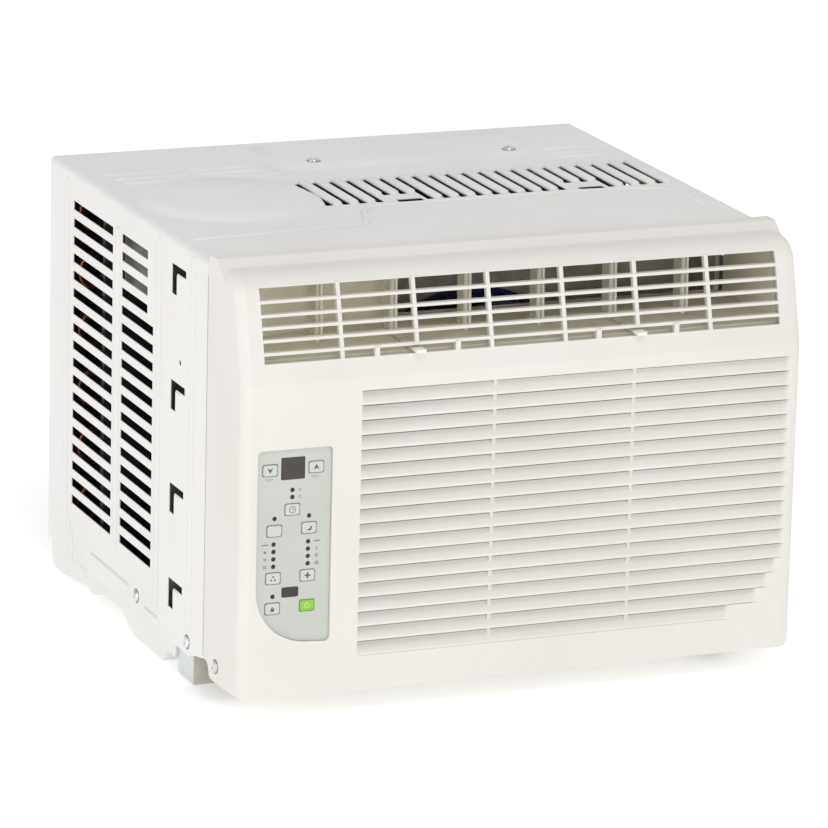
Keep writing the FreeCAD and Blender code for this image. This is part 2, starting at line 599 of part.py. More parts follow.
def propeller_fan():
    """Axial fan with four twisted blades and a slinger ring that lifts drain water on to the coil."""
    hub_radius, tip = 26.0, size("fan") - 3
    start, deep = size("fan_front"), size("fan_deep")
    blade_shapes = []
    for step in range(4):
        sections = []
        for radius, pitch in ((hub_radius - 4, 48), ((hub_radius + tip) / 2, 34), (tip, 24)):
            half = (deep / 2 - 3) / math.sin(math.radians(pitch))
            lean = math.radians(pitch)
            outline = [Vector(radius, s * half * math.cos(lean) - t * math.sin(lean),
                              s * half * math.sin(lean) + t * math.cos(lean)) for s, t in
                       ((-1, -0.6), (1, -0.6), (1, 0.6), (-1, 0.6))]
            sections.append(Part.makePolygon(outline + outline[:1]))
        shape = Part.makeLoft(sections, True, True)
        shape.rotate(Vector(), Vector(0, 0, 1), 90 * step)
        blade_shapes.append(shape)
    hub = Part.makeCylinder(hub_radius, deep).cut(Part.makeCylinder(size("shaft"), deep))
    hub.translate(Vector(0, 0, -deep / 2))
    ring = Part.makeCylinder(size("fan"), 8).cut(Part.makeCylinder(size("fan") - 5, 8))
    ring.translate(Vector(0, 0, -4))
    whole = hub.fuse([ring] + blade_shapes)
    item = solid("propeller_fan", whole)
    item.Placement = Placement(Vector(size("rotor_x"), start + deep / 2, size("rotor_z")), TURNS["Y"])
    node("propeller_fan", item)


def motor():
    """Double-shaft motor, its cradle and the shaft that carries blower and fan."""
    centre = ("rotor_x", "motor_front", "rotor_z")
    body = lathe("motor_can", centre, "Y",
                 [("shaft + 0.06", "-6"), ("16", "-6"), ("16", "4"), ("motor - 14", "4"), ("motor", "16"),
                  ("motor", "motor_long - 12"), ("motor - 14", "motor_long"), ("16", "motor_long"),
                  ("16", "motor_long + 10"), ("shaft + 0.06", "motor_long + 10")])
    space = lathe("motor_space", centre, "Y",
                  [("shaft + 4", "8"), ("motor - 16", "8"), ("motor - 6", "18"),
                   ("motor - 6", "motor_long - 14"),
                   ("motor - 16", "motor_long - 4"), ("shaft + 4", "motor_long - 4")])
    node("fan_motor", cut("fan_motor", body, [space]))
    node("motor_shaft", rod("motor_shaft", ("rotor_x", "wheel_front + 20", "rotor_z"), "Y", "shaft",
                            "fan_front + fan_deep + 8 - wheel_front - 20"))
    foot = box("cradle_foot", ("rotor_x - 70", "-12", "pan_sheet"), ("140", "23", "2"))
    post = box("cradle_post", ("rotor_x - 46", "-9", "pan_sheet"), ("92", "17", "rotor_z - 38"))
    window = box("cradle_window", ("rotor_x - 32", "-20", "pan_sheet + 19"), ("64", "50", "rotor_z - 100"))
    seat = rod("cradle_seat", ("rotor_x", "motor_front + 10", "rotor_z"), "Y", "motor", "60")
    node("motor_bracket", cut("motor_bracket", fuse("cradle", [foot, post]), [window, seat]))


def condenser_shroud():
    """Plate with a round orifice that the fan blows through, and a short box behind it."""
    wall = box("shroud_wall", ("-231", "102", "12"), ("460", "86", "334"))
    room = box("shroud_room", ("-229", "105", "14"), ("456", "90", "330"))
    ring = rod("shroud_ring", ("rotor_x", "98", "rotor_z"), "Y", "fan + 8", "10")
    hole = rod("shroud_hole", ("rotor_x", "90", "rotor_z"), "Y", "fan + 5", "30")
    left = box("shroud_left", ("-240", "107", "0"), ("11.5", "100", "400"))
    node("condenser_shroud", cut("condenser_shroud",
                                 fuse("shroud", [cut("shroud_shell", wall, [room, left]), ring]),
                                 [hole]))


# ---------------------------------------------------------------- coils

def serpentine(name, prefix, rows, radius):
    """Straight runs joined at alternate ends by half-round return bends."""
    left, right = f"{prefix}_left", f"{prefix}_right"
    depth = f"{prefix}_front + {prefix}_deep / 2"
    level = f"{prefix}_low + 10"
    pieces = []
    for row in range(rows):
        pieces.append(rod(f"{name}_run_{row}", (f"{left} - 2", depth, f"{level} + coil_pitch * {row}"), "X",
                          radius, f"{right} - {left} + 4"))
        if row + 1 < rows:
            bend = doc.addObject("Part::Torus", f"{name}_bend_{row}")
            tie(bend, Radius1="coil_pitch / 2", Radius2=radius)
            bend.Angle3 = 180
            at_left = row % 2 == 0
            turn = Rotation(Vector(1, 0, 0), 90).multiply(Rotation(Vector(0, 0, 1), 90 if at_left else -90))
            pieces.append(place(bend, (f"{left} - 2" if at_left else f"{right} + 2", depth,
                                       f"{level} + coil_pitch * ({row} + 0.5)"), turn))
    return fuse(name, pieces)


def coil(name, prefix, rows, face_side):
    """Fin pack as a comb, and the copper serpentine that runs through it."""
    left, right = f"{prefix}_left", f"{prefix}_right"
    count = int((size(right) - size(left)) // 6) - 1
    block = box(f"{name}_block", (left, f"{prefix}_front", f"{prefix}_low"),
                (f"{right} - {left}", f"{prefix}_deep", f"{prefix}_high - {prefix}_low"))
    depth = f"{prefix}_front - 1" if face_side == "front" else f"{prefix}_front + 2"
    grooves = [box(f"{name}_groove_{i}", (f"{left} + 4 + 6 * {i}", depth, f"{prefix}_low - 1"),
                   ("4.6", f"{prefix}_deep - 1", f"{prefix}_high - {prefix}_low + 2")) for i in range(count)]
    node(f"{name}_fins", cut(f"{name}_fins", block, grooves))
    outside = serpentine(f"{name}_outside", prefix, rows, "coil_tube")
    bore = serpentine(f"{name}_bore", prefix, rows, "coil_tube - coil_wall")
    node(f"{name}_tubes", cut(f"{name}_tubes", outside, [bore]))


# ---------------------------------------------------------------- refrigeration machine

def compressor():
    """Upright rotary compressor on three grommets, with its accumulator and pipes."""
    base = ("comp_x", "comp_y", "0")
    shell = lathe("compressor_can", base, "Z",
                  [("0", "comp_low"), ("comp - 12", "comp_low"), ("comp", "comp_low + 14"),
                   ("comp", "comp_high - 22"),
                   ("comp - 20", "comp_high - 3"), ("0", "comp_high")])
    feet = [box(f"comp_foot_{i}", ("0", "-12", "0"), ("59", "24", "3")) for i in range(3)]
    for i, foot in enumerate(feet):
        foot.Placement = Placement(Vector(), Rotation(Vector(0, 0, 1), 30 + 120 * i))
        tie(foot, Placement__Base__x=f"comp_x + 12 * sin({30 + 120 * i})",
            Placement__Base__y=f"comp_y - 12 * cos({30 + 120 * i})", Placement__Base__z="comp_low - 7.5")
    body = fuse("compressor_blank", [shell, rod("comp_boss", ("comp_x", "comp_y", "comp_low - 7.5"),
                                                "Z", "40", "10")]
                + feet)
    holes = [rod(f"comp_hole_{i}", (f"comp_x + 50 * cos({a})", f"comp_y + 50 * sin({a})",
                                    "comp_low - 9"), "Z",
                 "5", "14") for i, a in enumerate((30, 150, 270))]
    pockets = [rod(f"comp_pocket_{i}", (f"comp_x + 50 * cos({a})", f"comp_y + 50 * sin({a})",
                                        "comp_low - 4.5"), "Z",
                   "9.5", "14") for i, a in enumerate((30, 150, 270))]
    space = lathe("comp_space", base, "Z",
                  [("0", "comp_low + 4"), ("comp - 14", "comp_low + 4"), ("comp - 4", "comp_low + 16"),
                   ("comp - 4", "comp_high - 24"), ("comp - 22", "comp_high - 7"), ("0", "comp_high - 4")])
    node("compressor", cut("compressor", body, holes + pockets + [space]))
    node("compressor_core", lathe("compressor_core", base, "Z",
                                  [("0", "comp_low + 4"), ("20", "comp_low + 4"), ("36", "comp_low + 30"),
                                   ("36", "comp_low + 170"), ("30", "comp_low + 178"),
                                   ("0", "comp_low + 178")]))
    grommets, nuts = [], []
    for i, a in enumerate((30, 150, 270)):
        spot = (f"comp_x + 50 * cos({a})", f"comp_y + 50 * sin({a})")
        floor = "pan_sheet" if a == 270 else "pan_arch + pan_sheet"
        waist = rod(f"grommet_waist_{i}", (*spot, "comp_low - 8.5"), "Z", "4.9", "6")
        foot = rod(f"grommet_foot_{i}", (*spot, floor), "Z", "9", f"comp_low - 7.7 - ({floor})")
        bore = rod(f"grommet_bore_{i}", (*spot, "comp_low - 40"), "Z", "3.1", "60")
        grommets.append(cut(f"grommet_{i}", fuse(f"grommet_blank_{i}", [waist, foot]), [bore]))
        nut = prism(f"nut_{i}", "XY", [(f"{spot[0]} + 6.3 * cos({60 * k})",
                                        f"{spot[1]} + 6.3 * sin({60 * k})")
                                       for k in range(6)], "comp_low - 2.2", "4")
        nuts.append(cut(f"compressor_nut_{i}", nut, [rod(f"nut_bore_{i}", (*spot, "0"), "Z", "3.02", "60")]))
    node("compressor_grommets", group("compressor_grommets", grommets))
    node("compressor_nuts", group("compressor_nuts", nuts))
    node("terminal_cover", lathe("terminal_cover", ("comp_x", "comp_y", "0"), "Z",
                                 [("0", "comp_high + 0.2"), ("26", "comp_high + 0.2"),
                                  ("26", "comp_high + 16"),
                                  ("20", "comp_high + 22"), ("0", "comp_high + 22")]))
    node("accumulator", lathe("accumulator", ("comp_x - 54", "comp_y - 54", "0"), "Z",
                              [("0", "90"), ("10", "92"), ("18", "102"), ("18", "200"), ("10", "212"),
                               ("0", "214")]))


def pipes():
    """Copper lines between compressor, coils and capillary."""
    x, y = size("comp_x"), size("comp_y")
    top = size("comp_high")
    node("discharge_pipe", pipe("discharge_pipe", [(x + 36, y + 14, top - 12), (x + 36, y + 14, top + 34),
                                                   (x + 36, 96, top + 34), (x + 60, 96, top + 34)], 4, 10))
    node("suction_pipe", pipe("suction_pipe", [(x - 54, y - 54, 213), (x - 54, y - 54, 290),
                                               (x + 36, y - 54, 290),
                                               (x + 36, -40.5, 290)], 4, 10))
    drier = lathe("filter_drier", ("120", "70", "0"), "Z",
                  [("0", "60"), ("5", "62"), ("9", "72"), ("9", "140"),
                                                          ("5", "150"), ("0", "152")])
    node("filter_drier", drier)
    node("capillary_tube", pipe("capillary_tube",
                                [(120, 70, 151), (120, 70, 230), (160, 70, 230), (160, 0, 230),
                                                   (120, 0, 230), (120, 0, 200), (120, -40, 200)], 1.5, 8))


# ---------------------------------------------------------------- tray, filter and small parts

def drain_tray():
    """Moulded tray under the evaporator that drains towards the pan."""
    blank = box("tray_blank", ("-190", "-147", "13.2"), ("380", "58", "27"))
    hollow = box("tray_hollow", ("-184", "-142", "20"), ("368", "48", "30"))
    spout = box("tray_spout", ("-20", "-100", "20"), ("40", "20", "8"))
    node("drain_tray", cut("drain_tray", blank, [hollow, spout]))


def small_parts():
    """Fasteners, gland, plug and sensor."""
    screws = []
    for side, sign in (("left", -1), ("right", 1)):
        for i, (along, up) in enumerate(((6, 36), (-114, 33.6), (-179, 33.3))):
            head_base = "-case_half - screw_head" if sign < 0 else "case_half"
            shank_base = "-case_half" if sign < 0 else "case_half - 7"
            screws.append(fuse(f"screw_{side}_{i}", [
                rod(f"head_{side}_{i}", (head_base, str(along), str(up)), "X", "5", "screw_head"),
                rod(f"shank_{side}_{i}", (shank_base, str(along), str(up)), "X", "2", "7")]))
    for i, (x, y) in enumerate(((-37.3, 139.8), (136.4, 137))):
        screws.append(fuse(f"screw_top_{i}", [rod(f"head_top_{i}", (str(x), str(y), "case_top"), "Z",
                                                  "5", "screw_head"),
                                              rod(f"shank_top_{i}", (str(x), str(y), "case_top - 7"),
                                                  "Z", "2", "7")]))
    for i, (x, z) in enumerate(((-225, 70), (225, 70), (-225, 300), (225, 300))):
        screws.append(fuse(f"screw_rear_{i}", [rod(f"head_rear_{i}", (str(x), "case_rear", str(z)), "Y",
                                                   "5", "screw_head"),
                                               rod(f"shank_rear_{i}", (str(x), "case_rear - 7", str(z)),
                                                   "Y", "2", "7")]))
    node("casing_screws", group("casing_screws", screws))
    node("cord_gland", lathe("cord_gland", ("190", "-172", "panel_low"), "Z",
                             [("4.2", "-3"), ("11", "-3"), ("11", "-0.1"), ("7.9", "-0.1"),
                              ("7.9", "9"), ("4.2", "9")]))
    node("drain_plug", lathe("drain_plug", ("120", "66", "0"), "Z",
                             [("0", "pan_arch - 3"), ("8", "pan_arch - 3"), ("8", "pan_arch - 0.1"),
                              ("5.9", "pan_arch - 0.1"), ("5.9", "pan_arch + 5"), ("0", "pan_arch + 5")]))
    node("coil_sensor", fuse("coil_sensor", [rod("sensor_bulb", ("-60", "-154", "180"), "X", "3", "26"),
                                             box("sensor_clip", ("-50", "-151.4", "174"),
                                                 ("6", "3.3", "12"))]))


def air_filter():
    """Washable filter in a slim frame that slides out through the right side of the panel."""
    whole = ("filter_right - filter_left", "filter_high - filter_low")
    blank = box("filter_blank", ("filter_left", "filter_front", "filter_low"),
                (whole[0], "filter_thick", whole[1]))
    window = box("filter_window", ("filter_left + filter_bar", "filter_front - 1", "filter_low + filter_bar"),
                 (f"{whole[0]} - 2 * filter_bar", "filter_thick + 2", f"{whole[1]} - 2 * filter_bar"))
    bars = [box(f"filter_rib_{i}", (f"filter_left + ({whole[0]}) * {i} / 4 - 2", "filter_front + 3",
                                    "filter_low + 4"),
                ("4", "2.6", f"{whole[1]} - 8")) for i in (1, 2, 3)]
    grip = box("filter_grip", ("filter_right - 2", "filter_front + 1", "140"), ("3", "4", "40"))
    node("filter_frame", fuse("filter_frame", [cut("filter_ring", blank, [window]), grip] + bars))
    node("filter_mesh", box("filter_mesh", ("filter_left + filter_bar", "filter_front + 1.8",
                                            "filter_low + filter_bar"),
                            (f"{whole[0]} - 2 * filter_bar", "1.1", f"{whole[1]} - 2 * filter_bar")))


def build():
    """Make every sub-part."""
    base_pan()
    cabinet_shell()
    sill_bracket("left", -1)
    sill_bracket("right", 1)
    front_panel()
    controls()
    key_caps()
    discharge_duct()
    for index in range(6):
        vane(index)
    vane_link("left", 0)
    vane_link("right", 3)
    scroll_housing()
    bulkhead()
    blower_wheel()
    propeller_fan()
    motor()
    condenser_shroud()
    coil("evaporator", "evap", 8, "front")
    coil("condenser", "cond", 12, "rear")
    compressor()
    pipes()
    drain_tray()
    small_parts()
    air_filter()


def export():
    """Check every object and write one STEP file for each sub-part."""
    doc.recompute()
    for item in doc.Objects:
        if "Invalid" in item.State or "Error" in item.State:
            raise RuntimeError(f"{item.Name} failed: {item.State}")
    os.makedirs("parts", exist_ok=True)
    for name, item in nodes.items():
        if item.Shape.isNull() or not item.Shape.isValid():
            raise RuntimeError(f"{name} has no valid shape")
        item.Shape.exportStep(f"parts/{name}.step")
        bounds = item.Shape.BoundBox
        print(f"{name}: {len(item.Shape.Solids)} solid(s), {item.Shape.Volume / 1000:.1f} cm3, "
              f"x {bounds.XMin:.1f}..{bounds.XMax:.1f} y {bounds.YMin:.1f}..{bounds.YMax:.1f} "
              f"z {bounds.ZMin:.1f}..{bounds.ZMax:.1f}")
    print(f"{len(nodes)} sub-parts")


build()
export()
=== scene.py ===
import json
import logging
import math
from contextlib import contextmanager
from dataclasses import dataclass
from enum import Enum
from typing import Callable, Dict, Iterable, Iterator, List, Optional, Sequence, Tuple

import bpy
from mathutils import Matrix, Vector

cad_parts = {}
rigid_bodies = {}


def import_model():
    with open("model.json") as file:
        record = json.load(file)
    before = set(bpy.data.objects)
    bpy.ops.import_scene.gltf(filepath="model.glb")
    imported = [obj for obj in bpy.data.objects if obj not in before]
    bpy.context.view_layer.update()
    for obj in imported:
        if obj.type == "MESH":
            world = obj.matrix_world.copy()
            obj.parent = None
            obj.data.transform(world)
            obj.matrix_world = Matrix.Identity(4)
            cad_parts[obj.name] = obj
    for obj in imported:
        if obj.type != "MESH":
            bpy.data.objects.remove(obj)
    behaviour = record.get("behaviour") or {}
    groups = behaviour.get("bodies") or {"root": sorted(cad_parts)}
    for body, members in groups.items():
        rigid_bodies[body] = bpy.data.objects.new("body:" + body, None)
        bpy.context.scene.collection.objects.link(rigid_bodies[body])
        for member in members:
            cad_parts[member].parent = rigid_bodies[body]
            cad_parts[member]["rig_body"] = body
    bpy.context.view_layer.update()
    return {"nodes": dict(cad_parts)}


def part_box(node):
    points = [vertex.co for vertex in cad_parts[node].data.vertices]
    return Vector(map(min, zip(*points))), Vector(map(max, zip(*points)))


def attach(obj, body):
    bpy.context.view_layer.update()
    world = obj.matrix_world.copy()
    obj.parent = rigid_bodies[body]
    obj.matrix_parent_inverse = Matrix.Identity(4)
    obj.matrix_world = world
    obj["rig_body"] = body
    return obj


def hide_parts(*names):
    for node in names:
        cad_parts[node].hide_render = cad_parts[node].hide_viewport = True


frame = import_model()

# A window air conditioner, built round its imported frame. Sizes are in millimetres wherever a name
# ends in _mm or sits in a size class, and become metres as a mesh is made. X runs across the
# front, Y from front to back and Z up.

MM = 0.001
MERGE = 0.002 * MM
NEARLY_FLAT = math.radians(0.6)
CHASSIS = "chassis"
LOG = logging.getLogger("window_unit")

Point = Tuple[float, float, float]
Piece = bpy.types.Object
Material = bpy.types.Material


# ---------------------------------------------------------------- finishes

def linear(hex_colour: str) -> Tuple[float, float, float, float]:
    """Turn an sRGB hex colour into linear light.

    Args:
        hex_colour: The colour as #RRGGBB.

    Returns:
        Red, green, blue and alpha as linear values.
    """
    parts = [int(hex_colour[start:start + 2], 16) / 255 for start in (1, 3, 5)]
    lit = [part / 12.92 if part <= 0.04045 else ((part + 0.055) / 1.055) ** 2.4 for part in parts]
    return (lit[0], lit[1], lit[2], 1.0)


def add_node(material: Material, kind: str, settings: Optional[Dict] = None, **inputs) -> bpy.types.Node:
    """Add one shader node with its settings and its links.

    Args:
        material: The material that the node goes into.
        kind: The node's type, without the ShaderNode prefix.
        settings: Properties set on the node itself.
        inputs: Values or sockets for its inputs, with _ in place of a space in a name.

    Returns:
        The new node.
    """
    node = material.node_tree.nodes.new("ShaderNode" + kind)
    for name, value in (settings or {}).items():
        setattr(node, name, value)
    for name, value in inputs.items():
        socket = node.inputs[int(name[1:])] if name[:1] == "i" and name[1:].isdigit() \
            else node.inputs[name.replace("_", " ")]
        if isinstance(value, bpy.types.NodeSocket):
            material.node_tree.links.new(value, socket)
        else:
            socket.default_value = value
    return node


class Grain(Enum):
    """How a surface was made, which decides the pattern that its relief follows."""

    MOULDED = "spark-eroded mould texture"
    SPRAYED = "orange peel of a baked paint"
    BRUSHED = "fine lines along one way"
    SPANGLED = "zinc crystals"
    WOVEN = "square net"
    SMOOTH = "polished, with faint handling haze"


@dataclass(frozen=True)
class Finish:
    """One finish: its colours, gloss and relief.

    Attributes:
        name: The material's name in a maker's words.
        colour: Main colour, sRGB hex.
        second: Colour that the main one drifts to in patches, sRGB hex.
        roughness: Middle roughness.
        haze: How far the roughness drifts to each side.
        grain_mm: Real size of one grain, thread or crystal.
        relief_mm: Height of the relief.
        grain: The pattern of the relief.
        metallic: 1 for bare metal.
        ior: Index of refraction, left at 1.5 for metals.
        coat: Weight of a clear top layer.
        patch_mm: Size of the patches in which the colour drifts.
        along: Stretch of the pattern on each axis.
        sheen: Weight of soft scatter at grazing angles.
    """

    name: str
    colour: str
    second: str
    roughness: float
    haze: float
    grain_mm: float
    relief_mm: float
    grain: Grain = Grain.MOULDED
    metallic: float = 0.0
    ior: float = 1.5
    coat: float = 0.0
    patch_mm: float = 60.0
    along: Tuple[float, float, float] = (1.0, 1.0, 1.0)
    sheen: float = 0.0

    def pattern(self, material: Material, place: bpy.types.NodeSocket) -> bpy.types.NodeSocket:
        """Make the height pattern for this grain.

        Args:
            material: The material being made.
            place: The socket that gives the object's own coordinates.

        Returns:
            A socket from 0 to 1.
        """
        scale = 1 / (self.grain_mm * MM)
        way = add_node(material, "Mapping", Vector=place, Scale=self.along).outputs["Vector"]
        if self.grain is Grain.SPANGLED:
            cells = add_node(material, "TexVoronoi", {"feature": "F1"}, Vector=way, Scale=scale,
                             Randomness=1.0)
            return add_node(material, "RGBToBW", Color=cells.outputs["Color"]).outputs[0]
        if self.grain is Grain.WOVEN:
            threads = [add_node(material, "TexWave", {"bands_direction": axis, "wave_profile": "SIN"},
                                Vector=way, Scale=scale / 3.2, Distortion=0.0).outputs["Fac"]
                       for axis in ("X", "Z")]
            return add_node(material, "Math", {"operation": "MAXIMUM"}, i0=threads[0],
                            i1=threads[1]).outputs[0]
        if self.grain is Grain.SPRAYED:
            peel = add_node(material, "TexNoise", Vector=way, Scale=scale, Detail=1.5, Roughness=0.4)
            return peel.outputs["Fac"]
        detail = 5.0 if self.grain is Grain.BRUSHED else 3.0
        return add_node(material, "TexNoise", Vector=way, Scale=scale, Detail=detail,
                        Roughness=0.6).outputs["Fac"]

    def make(self) -> Material:
        """Build the material once and hand back the same one afterwards.

        Returns:
            The material.
        """
        found = bpy.data.materials.get(self.name)
        if found:
            return found
        material = bpy.data.materials.new(self.name)
        material.use_nodes = True
        material.node_tree.nodes.clear()
        place = add_node(material, "TexCoord").outputs["Object"]
        height = self.pattern(material, place)
        patches = add_node(material, "TexNoise", Vector=place, Scale=1 / (self.patch_mm * MM), Detail=4.0,
                           Roughness=0.55).outputs["Fac"]
        drift = add_node(material, "MapRange", {"interpolation_type": "SMOOTHSTEP"}, Value=patches,
                         From_Min=0.35, From_Max=0.7, To_Min=0.0, To_Max=1.0).outputs["Result"]
        if self.grain in (Grain.SPANGLED, Grain.WOVEN, Grain.BRUSHED):
            drift = add_node(material, "Math", {"operation": "MULTIPLY"}, i0=drift, i1=height).outputs[0]
        tint = add_node(material, "Mix", {"data_type": "RGBA"}, i0=drift, i6=linear(self.colour),
                        i7=linear(self.second)).outputs[2]
        blend = add_node(material, "Math", {"operation": "ADD"}, i0=patches, i1=height).outputs[0]
        gloss = add_node(material, "MapRange", Value=blend, From_Min=0.6, From_Max=1.4,
                         To_Min=self.roughness - self.haze,
                         To_Max=self.roughness + self.haze).outputs["Result"]
        relief = add_node(material, "Bump", Height=height, Strength=1.0, Distance=self.relief_mm * MM)
        skin = add_node(material, "BsdfPrincipled", Base_Color=tint, Roughness=gloss,
                        Normal=relief.outputs["Normal"], Metallic=self.metallic, IOR=self.ior,
                        Coat_Weight=self.coat, Coat_Roughness=0.08, Sheen_Weight=self.sheen)
        add_node(material, "OutputMaterial", Surface=skin.outputs["BSDF"])
        return material


# Baked white enamel on sheet steel: semi-gloss, with the soft orange peel that a spray leaves.
ENAMEL = Finish("baked_white_enamel", "#E7E5E3", "#E4E2E0", 0.36, 0.04, 1.6, 0.006, Grain.SPRAYED,
                ior=1.52, coat=0.15, patch_mm=90)
# The pan's enamel is a little cooler and duller than the wrapper's.
PAN_ENAMEL = Finish("pan_enamel", "#E8E7E4", "#E0E3E0", 0.42, 0.05, 1.6, 0.008, Grain.SPRAYED, ior=1.52,
                    patch_mm=70)
# Moulded ABS of the front: a fine spark-eroded texture that turns highlights into a satin sheen.
PANEL_ABS = Finish("moulded_white_abs", "#E2DFDA", "#DFDCD6", 0.44, 0.04, 0.7, 0.008, ior=1.53, patch_mm=120)
# Polyester film over the keys: satin, grey-green, its grain too fine to show so drawn at 0.5 mm.
OVERLAY_FILM = Finish("satin_overlay_film", "#C2C5BE", "#BEC1BA", 0.34, 0.03, 0.5, 0.003, ior=1.6)
# Keys are the same film raised over a dome, with a slightly paler field.
KEY_FILM = Finish("key_film", "#C9CCC5", "#C5C8C1", 0.36, 0.03, 0.5, 0.003, ior=1.6, patch_mm=12)
KEY_GREEN = Finish("green_key_film", "#8CC63A", "#7FBA30", 0.34, 0.03, 0.5, 0.003, ior=1.6, patch_mm=12)
# Screen-printed inks on the film: matt and nearly flat.
INK_GREY = Finish("grey_ink", "#7E817B", "#777A74", 0.55, 0.04, 0.3, 0.002, patch_mm=10)
INK_DARK = Finish("dark_ink", "#55584F", "#4D5048", 0.55, 0.04, 0.3, 0.002, patch_mm=10)
INK_OLIVE = Finish("olive_ink", "#6E9A2B", "#668F27", 0.5, 0.04, 0.3, 0.002, patch_mm=10)
INK_PALE = Finish("pale_ink", "#C9E88E", "#C1E283", 0.45, 0.04, 0.3, 0.002, patch_mm=10)
# Smoked acrylic in front of the digits: deep brown-black and glossy.
SMOKED = Finish("smoked_acrylic", "#2C2624", "#332C29", 0.12, 0.04, 2.0, 0.001, Grain.SMOOTH, ior=1.49,
                coat=0.4, patch_mm=9)
RECEIVER = Finish("receiver_acrylic", "#1E1D1C", "#262422", 0.14, 0.04, 2.0, 0.001, Grain.SMOOTH, ior=1.49,
                  coat=0.4, patch_mm=9)
LAMP = Finish("dark_lamp_lens", "#1F1B19", "#2A2320", 0.22, 0.05, 1.0, 0.002, Grain.SMOOTH, ior=1.49,
              patch_mm=4)
# Zinc-plated steel: bluish, with crystals a few millimetres wide.
ZINC = Finish("zinc_plate", "#B4B9BF", "#8F959D", 0.34, 0.08, 3.5, 0.004, Grain.SPANGLED, metallic=1.0,
              patch_mm=25)
# Beige on the sill brackets' faces that point forward and back: painted warm shade on the zinc.
SILL_FACE_SHADE = Finish("sill_face_painted_shade", "#CDC9BB", "#C4C0B1", 0.5, 0.05, 1.2, 0.006, Grain.SPRAYED, patch_mm=30)
SCREW = Finish("nickel_screw", "#E4E4E4", "#C2C3C5", 0.22, 0.06, 0.8, 0.002, Grain.SMOOTH, metallic=1.0,
               patch_mm=6)
# Dark steel washers under the screw heads: their darkness is painted shadow and painted dark reflection,
# outlining each head.
SCREW_SHADE_RING = Finish("washer_painted_shade", "#6F7072", "#5E5F61", 0.3, 0.06, 0.8, 0.002, Grain.SMOOTH, metallic=1.0,
                patch_mm=6)
# Felt: dull grey-green, round the pipes beside the compressor; it also makes the strip in the front joint,
# whose darker tone there is painted shadow of the seam.
FELT_AND_SEAM_SHADE = Finish("felt_and_seam_painted_shade", "#A9A998", "#8C8C7A", 0.85, 0.05, 1.1, 0.08, patch_mm=14, sheen=0.3)
# Polystyrene air duct: beige and matt, with the faint beads of its foam.
DUCT = Finish("beige_duct_foam", "#F4EFDD", "#ECE6D2", 0.62, 0.06, 2.2, 0.02, patch_mm=35)
VANE = Finish("moulded_beige_abs", "#F0ECE0", "#E9E5D8", 0.42, 0.04, 0.7, 0.006, ior=1.53, patch_mm=40)
SCROLL = Finish("grey_scroll_foam", "#D2C9BC", "#A3988C", 0.75, 0.05, 2.4, 0.03, patch_mm=30)
BOX = Finish("grey_box_abs", "#C9C6BD", "#BFBCB2", 0.5, 0.05, 0.7, 0.006, patch_mm=40)
# Black shroud plastic; the same black also serves as painted shade on the coil's end plates and seals.
BLACK_SHROUD_AND_SHADE = Finish("shroud_black_and_painted_shade", "#1E1B1A", "#272322", 0.55, 0.06, 0.9, 0.012, patch_mm=35)
MOTOR = Finish("motor_lacquer", "#3B3C3E", "#2F3032", 0.4, 0.06, 1.2, 0.006, Grain.SPRAYED, patch_mm=30)
COMPRESSOR = Finish("black_compressor_paint", "#141417", "#1D1D20", 0.3, 0.07, 1.4, 0.012, Grain.SPRAYED,
                    coat=0.2, patch_mm=28)
FOIL = Finish("fin_aluminium", "#C9CCCE", "#A9ADB0", 0.32, 0.07, 0.9, 0.004, Grain.BRUSHED, metallic=1.0,
              patch_mm=30, along=(1.0, 1.0, 0.08))
COPPER = Finish("drawn_copper", "#C07A54", "#8A4A30", 0.3, 0.1, 1.2, 0.003, Grain.BRUSHED, metallic=1.0,
                patch_mm=14)
BOARD = Finish("solder_mask", "#2E6A3C", "#285E35", 0.3, 0.05, 1.5, 0.01, patch_mm=15)
COMPONENT = Finish("black_component", "#1A1A1C", "#232326", 0.42, 0.06, 0.6, 0.006, patch_mm=12)
CAPACITOR = Finish("capacitor_can", "#B9BCBE", "#9EA1A4", 0.28, 0.06, 0.8, 0.002, Grain.BRUSHED, metallic=1.0,
                   patch_mm=20, along=(1.0, 1.0, 0.1))
RUBBER = Finish("black_rubber", "#19191A", "#232324", 0.72, 0.06, 0.8, 0.02, patch_mm=12, sheen=0.2)
GLAND = Finish("black_nylon", "#1D1D1F", "#26262A", 0.46, 0.05, 0.7, 0.01, patch_mm=12)
SENSOR = Finish("white_nylon", "#DDDCD6", "#D2D1CA", 0.5, 0.05, 0.7, 0.008, patch_mm=12)
# The blower is a dark navy polypropylene, glossy enough to catch a thin streak.
WHEEL = Finish("navy_polypropylene", "#2A2E55", "#34386A", 0.3, 0.06, 1.0, 0.01, ior=1.49, patch_mm=25)
# The filter's net: square cells about a millimetre wide, drawn at 1.4 mm so that they show.
NET = Finish("filter_net", "#3C3F42", "#7A7E80", 0.65, 0.05, 1.4, 0.15, Grain.WOVEN, patch_mm=40)

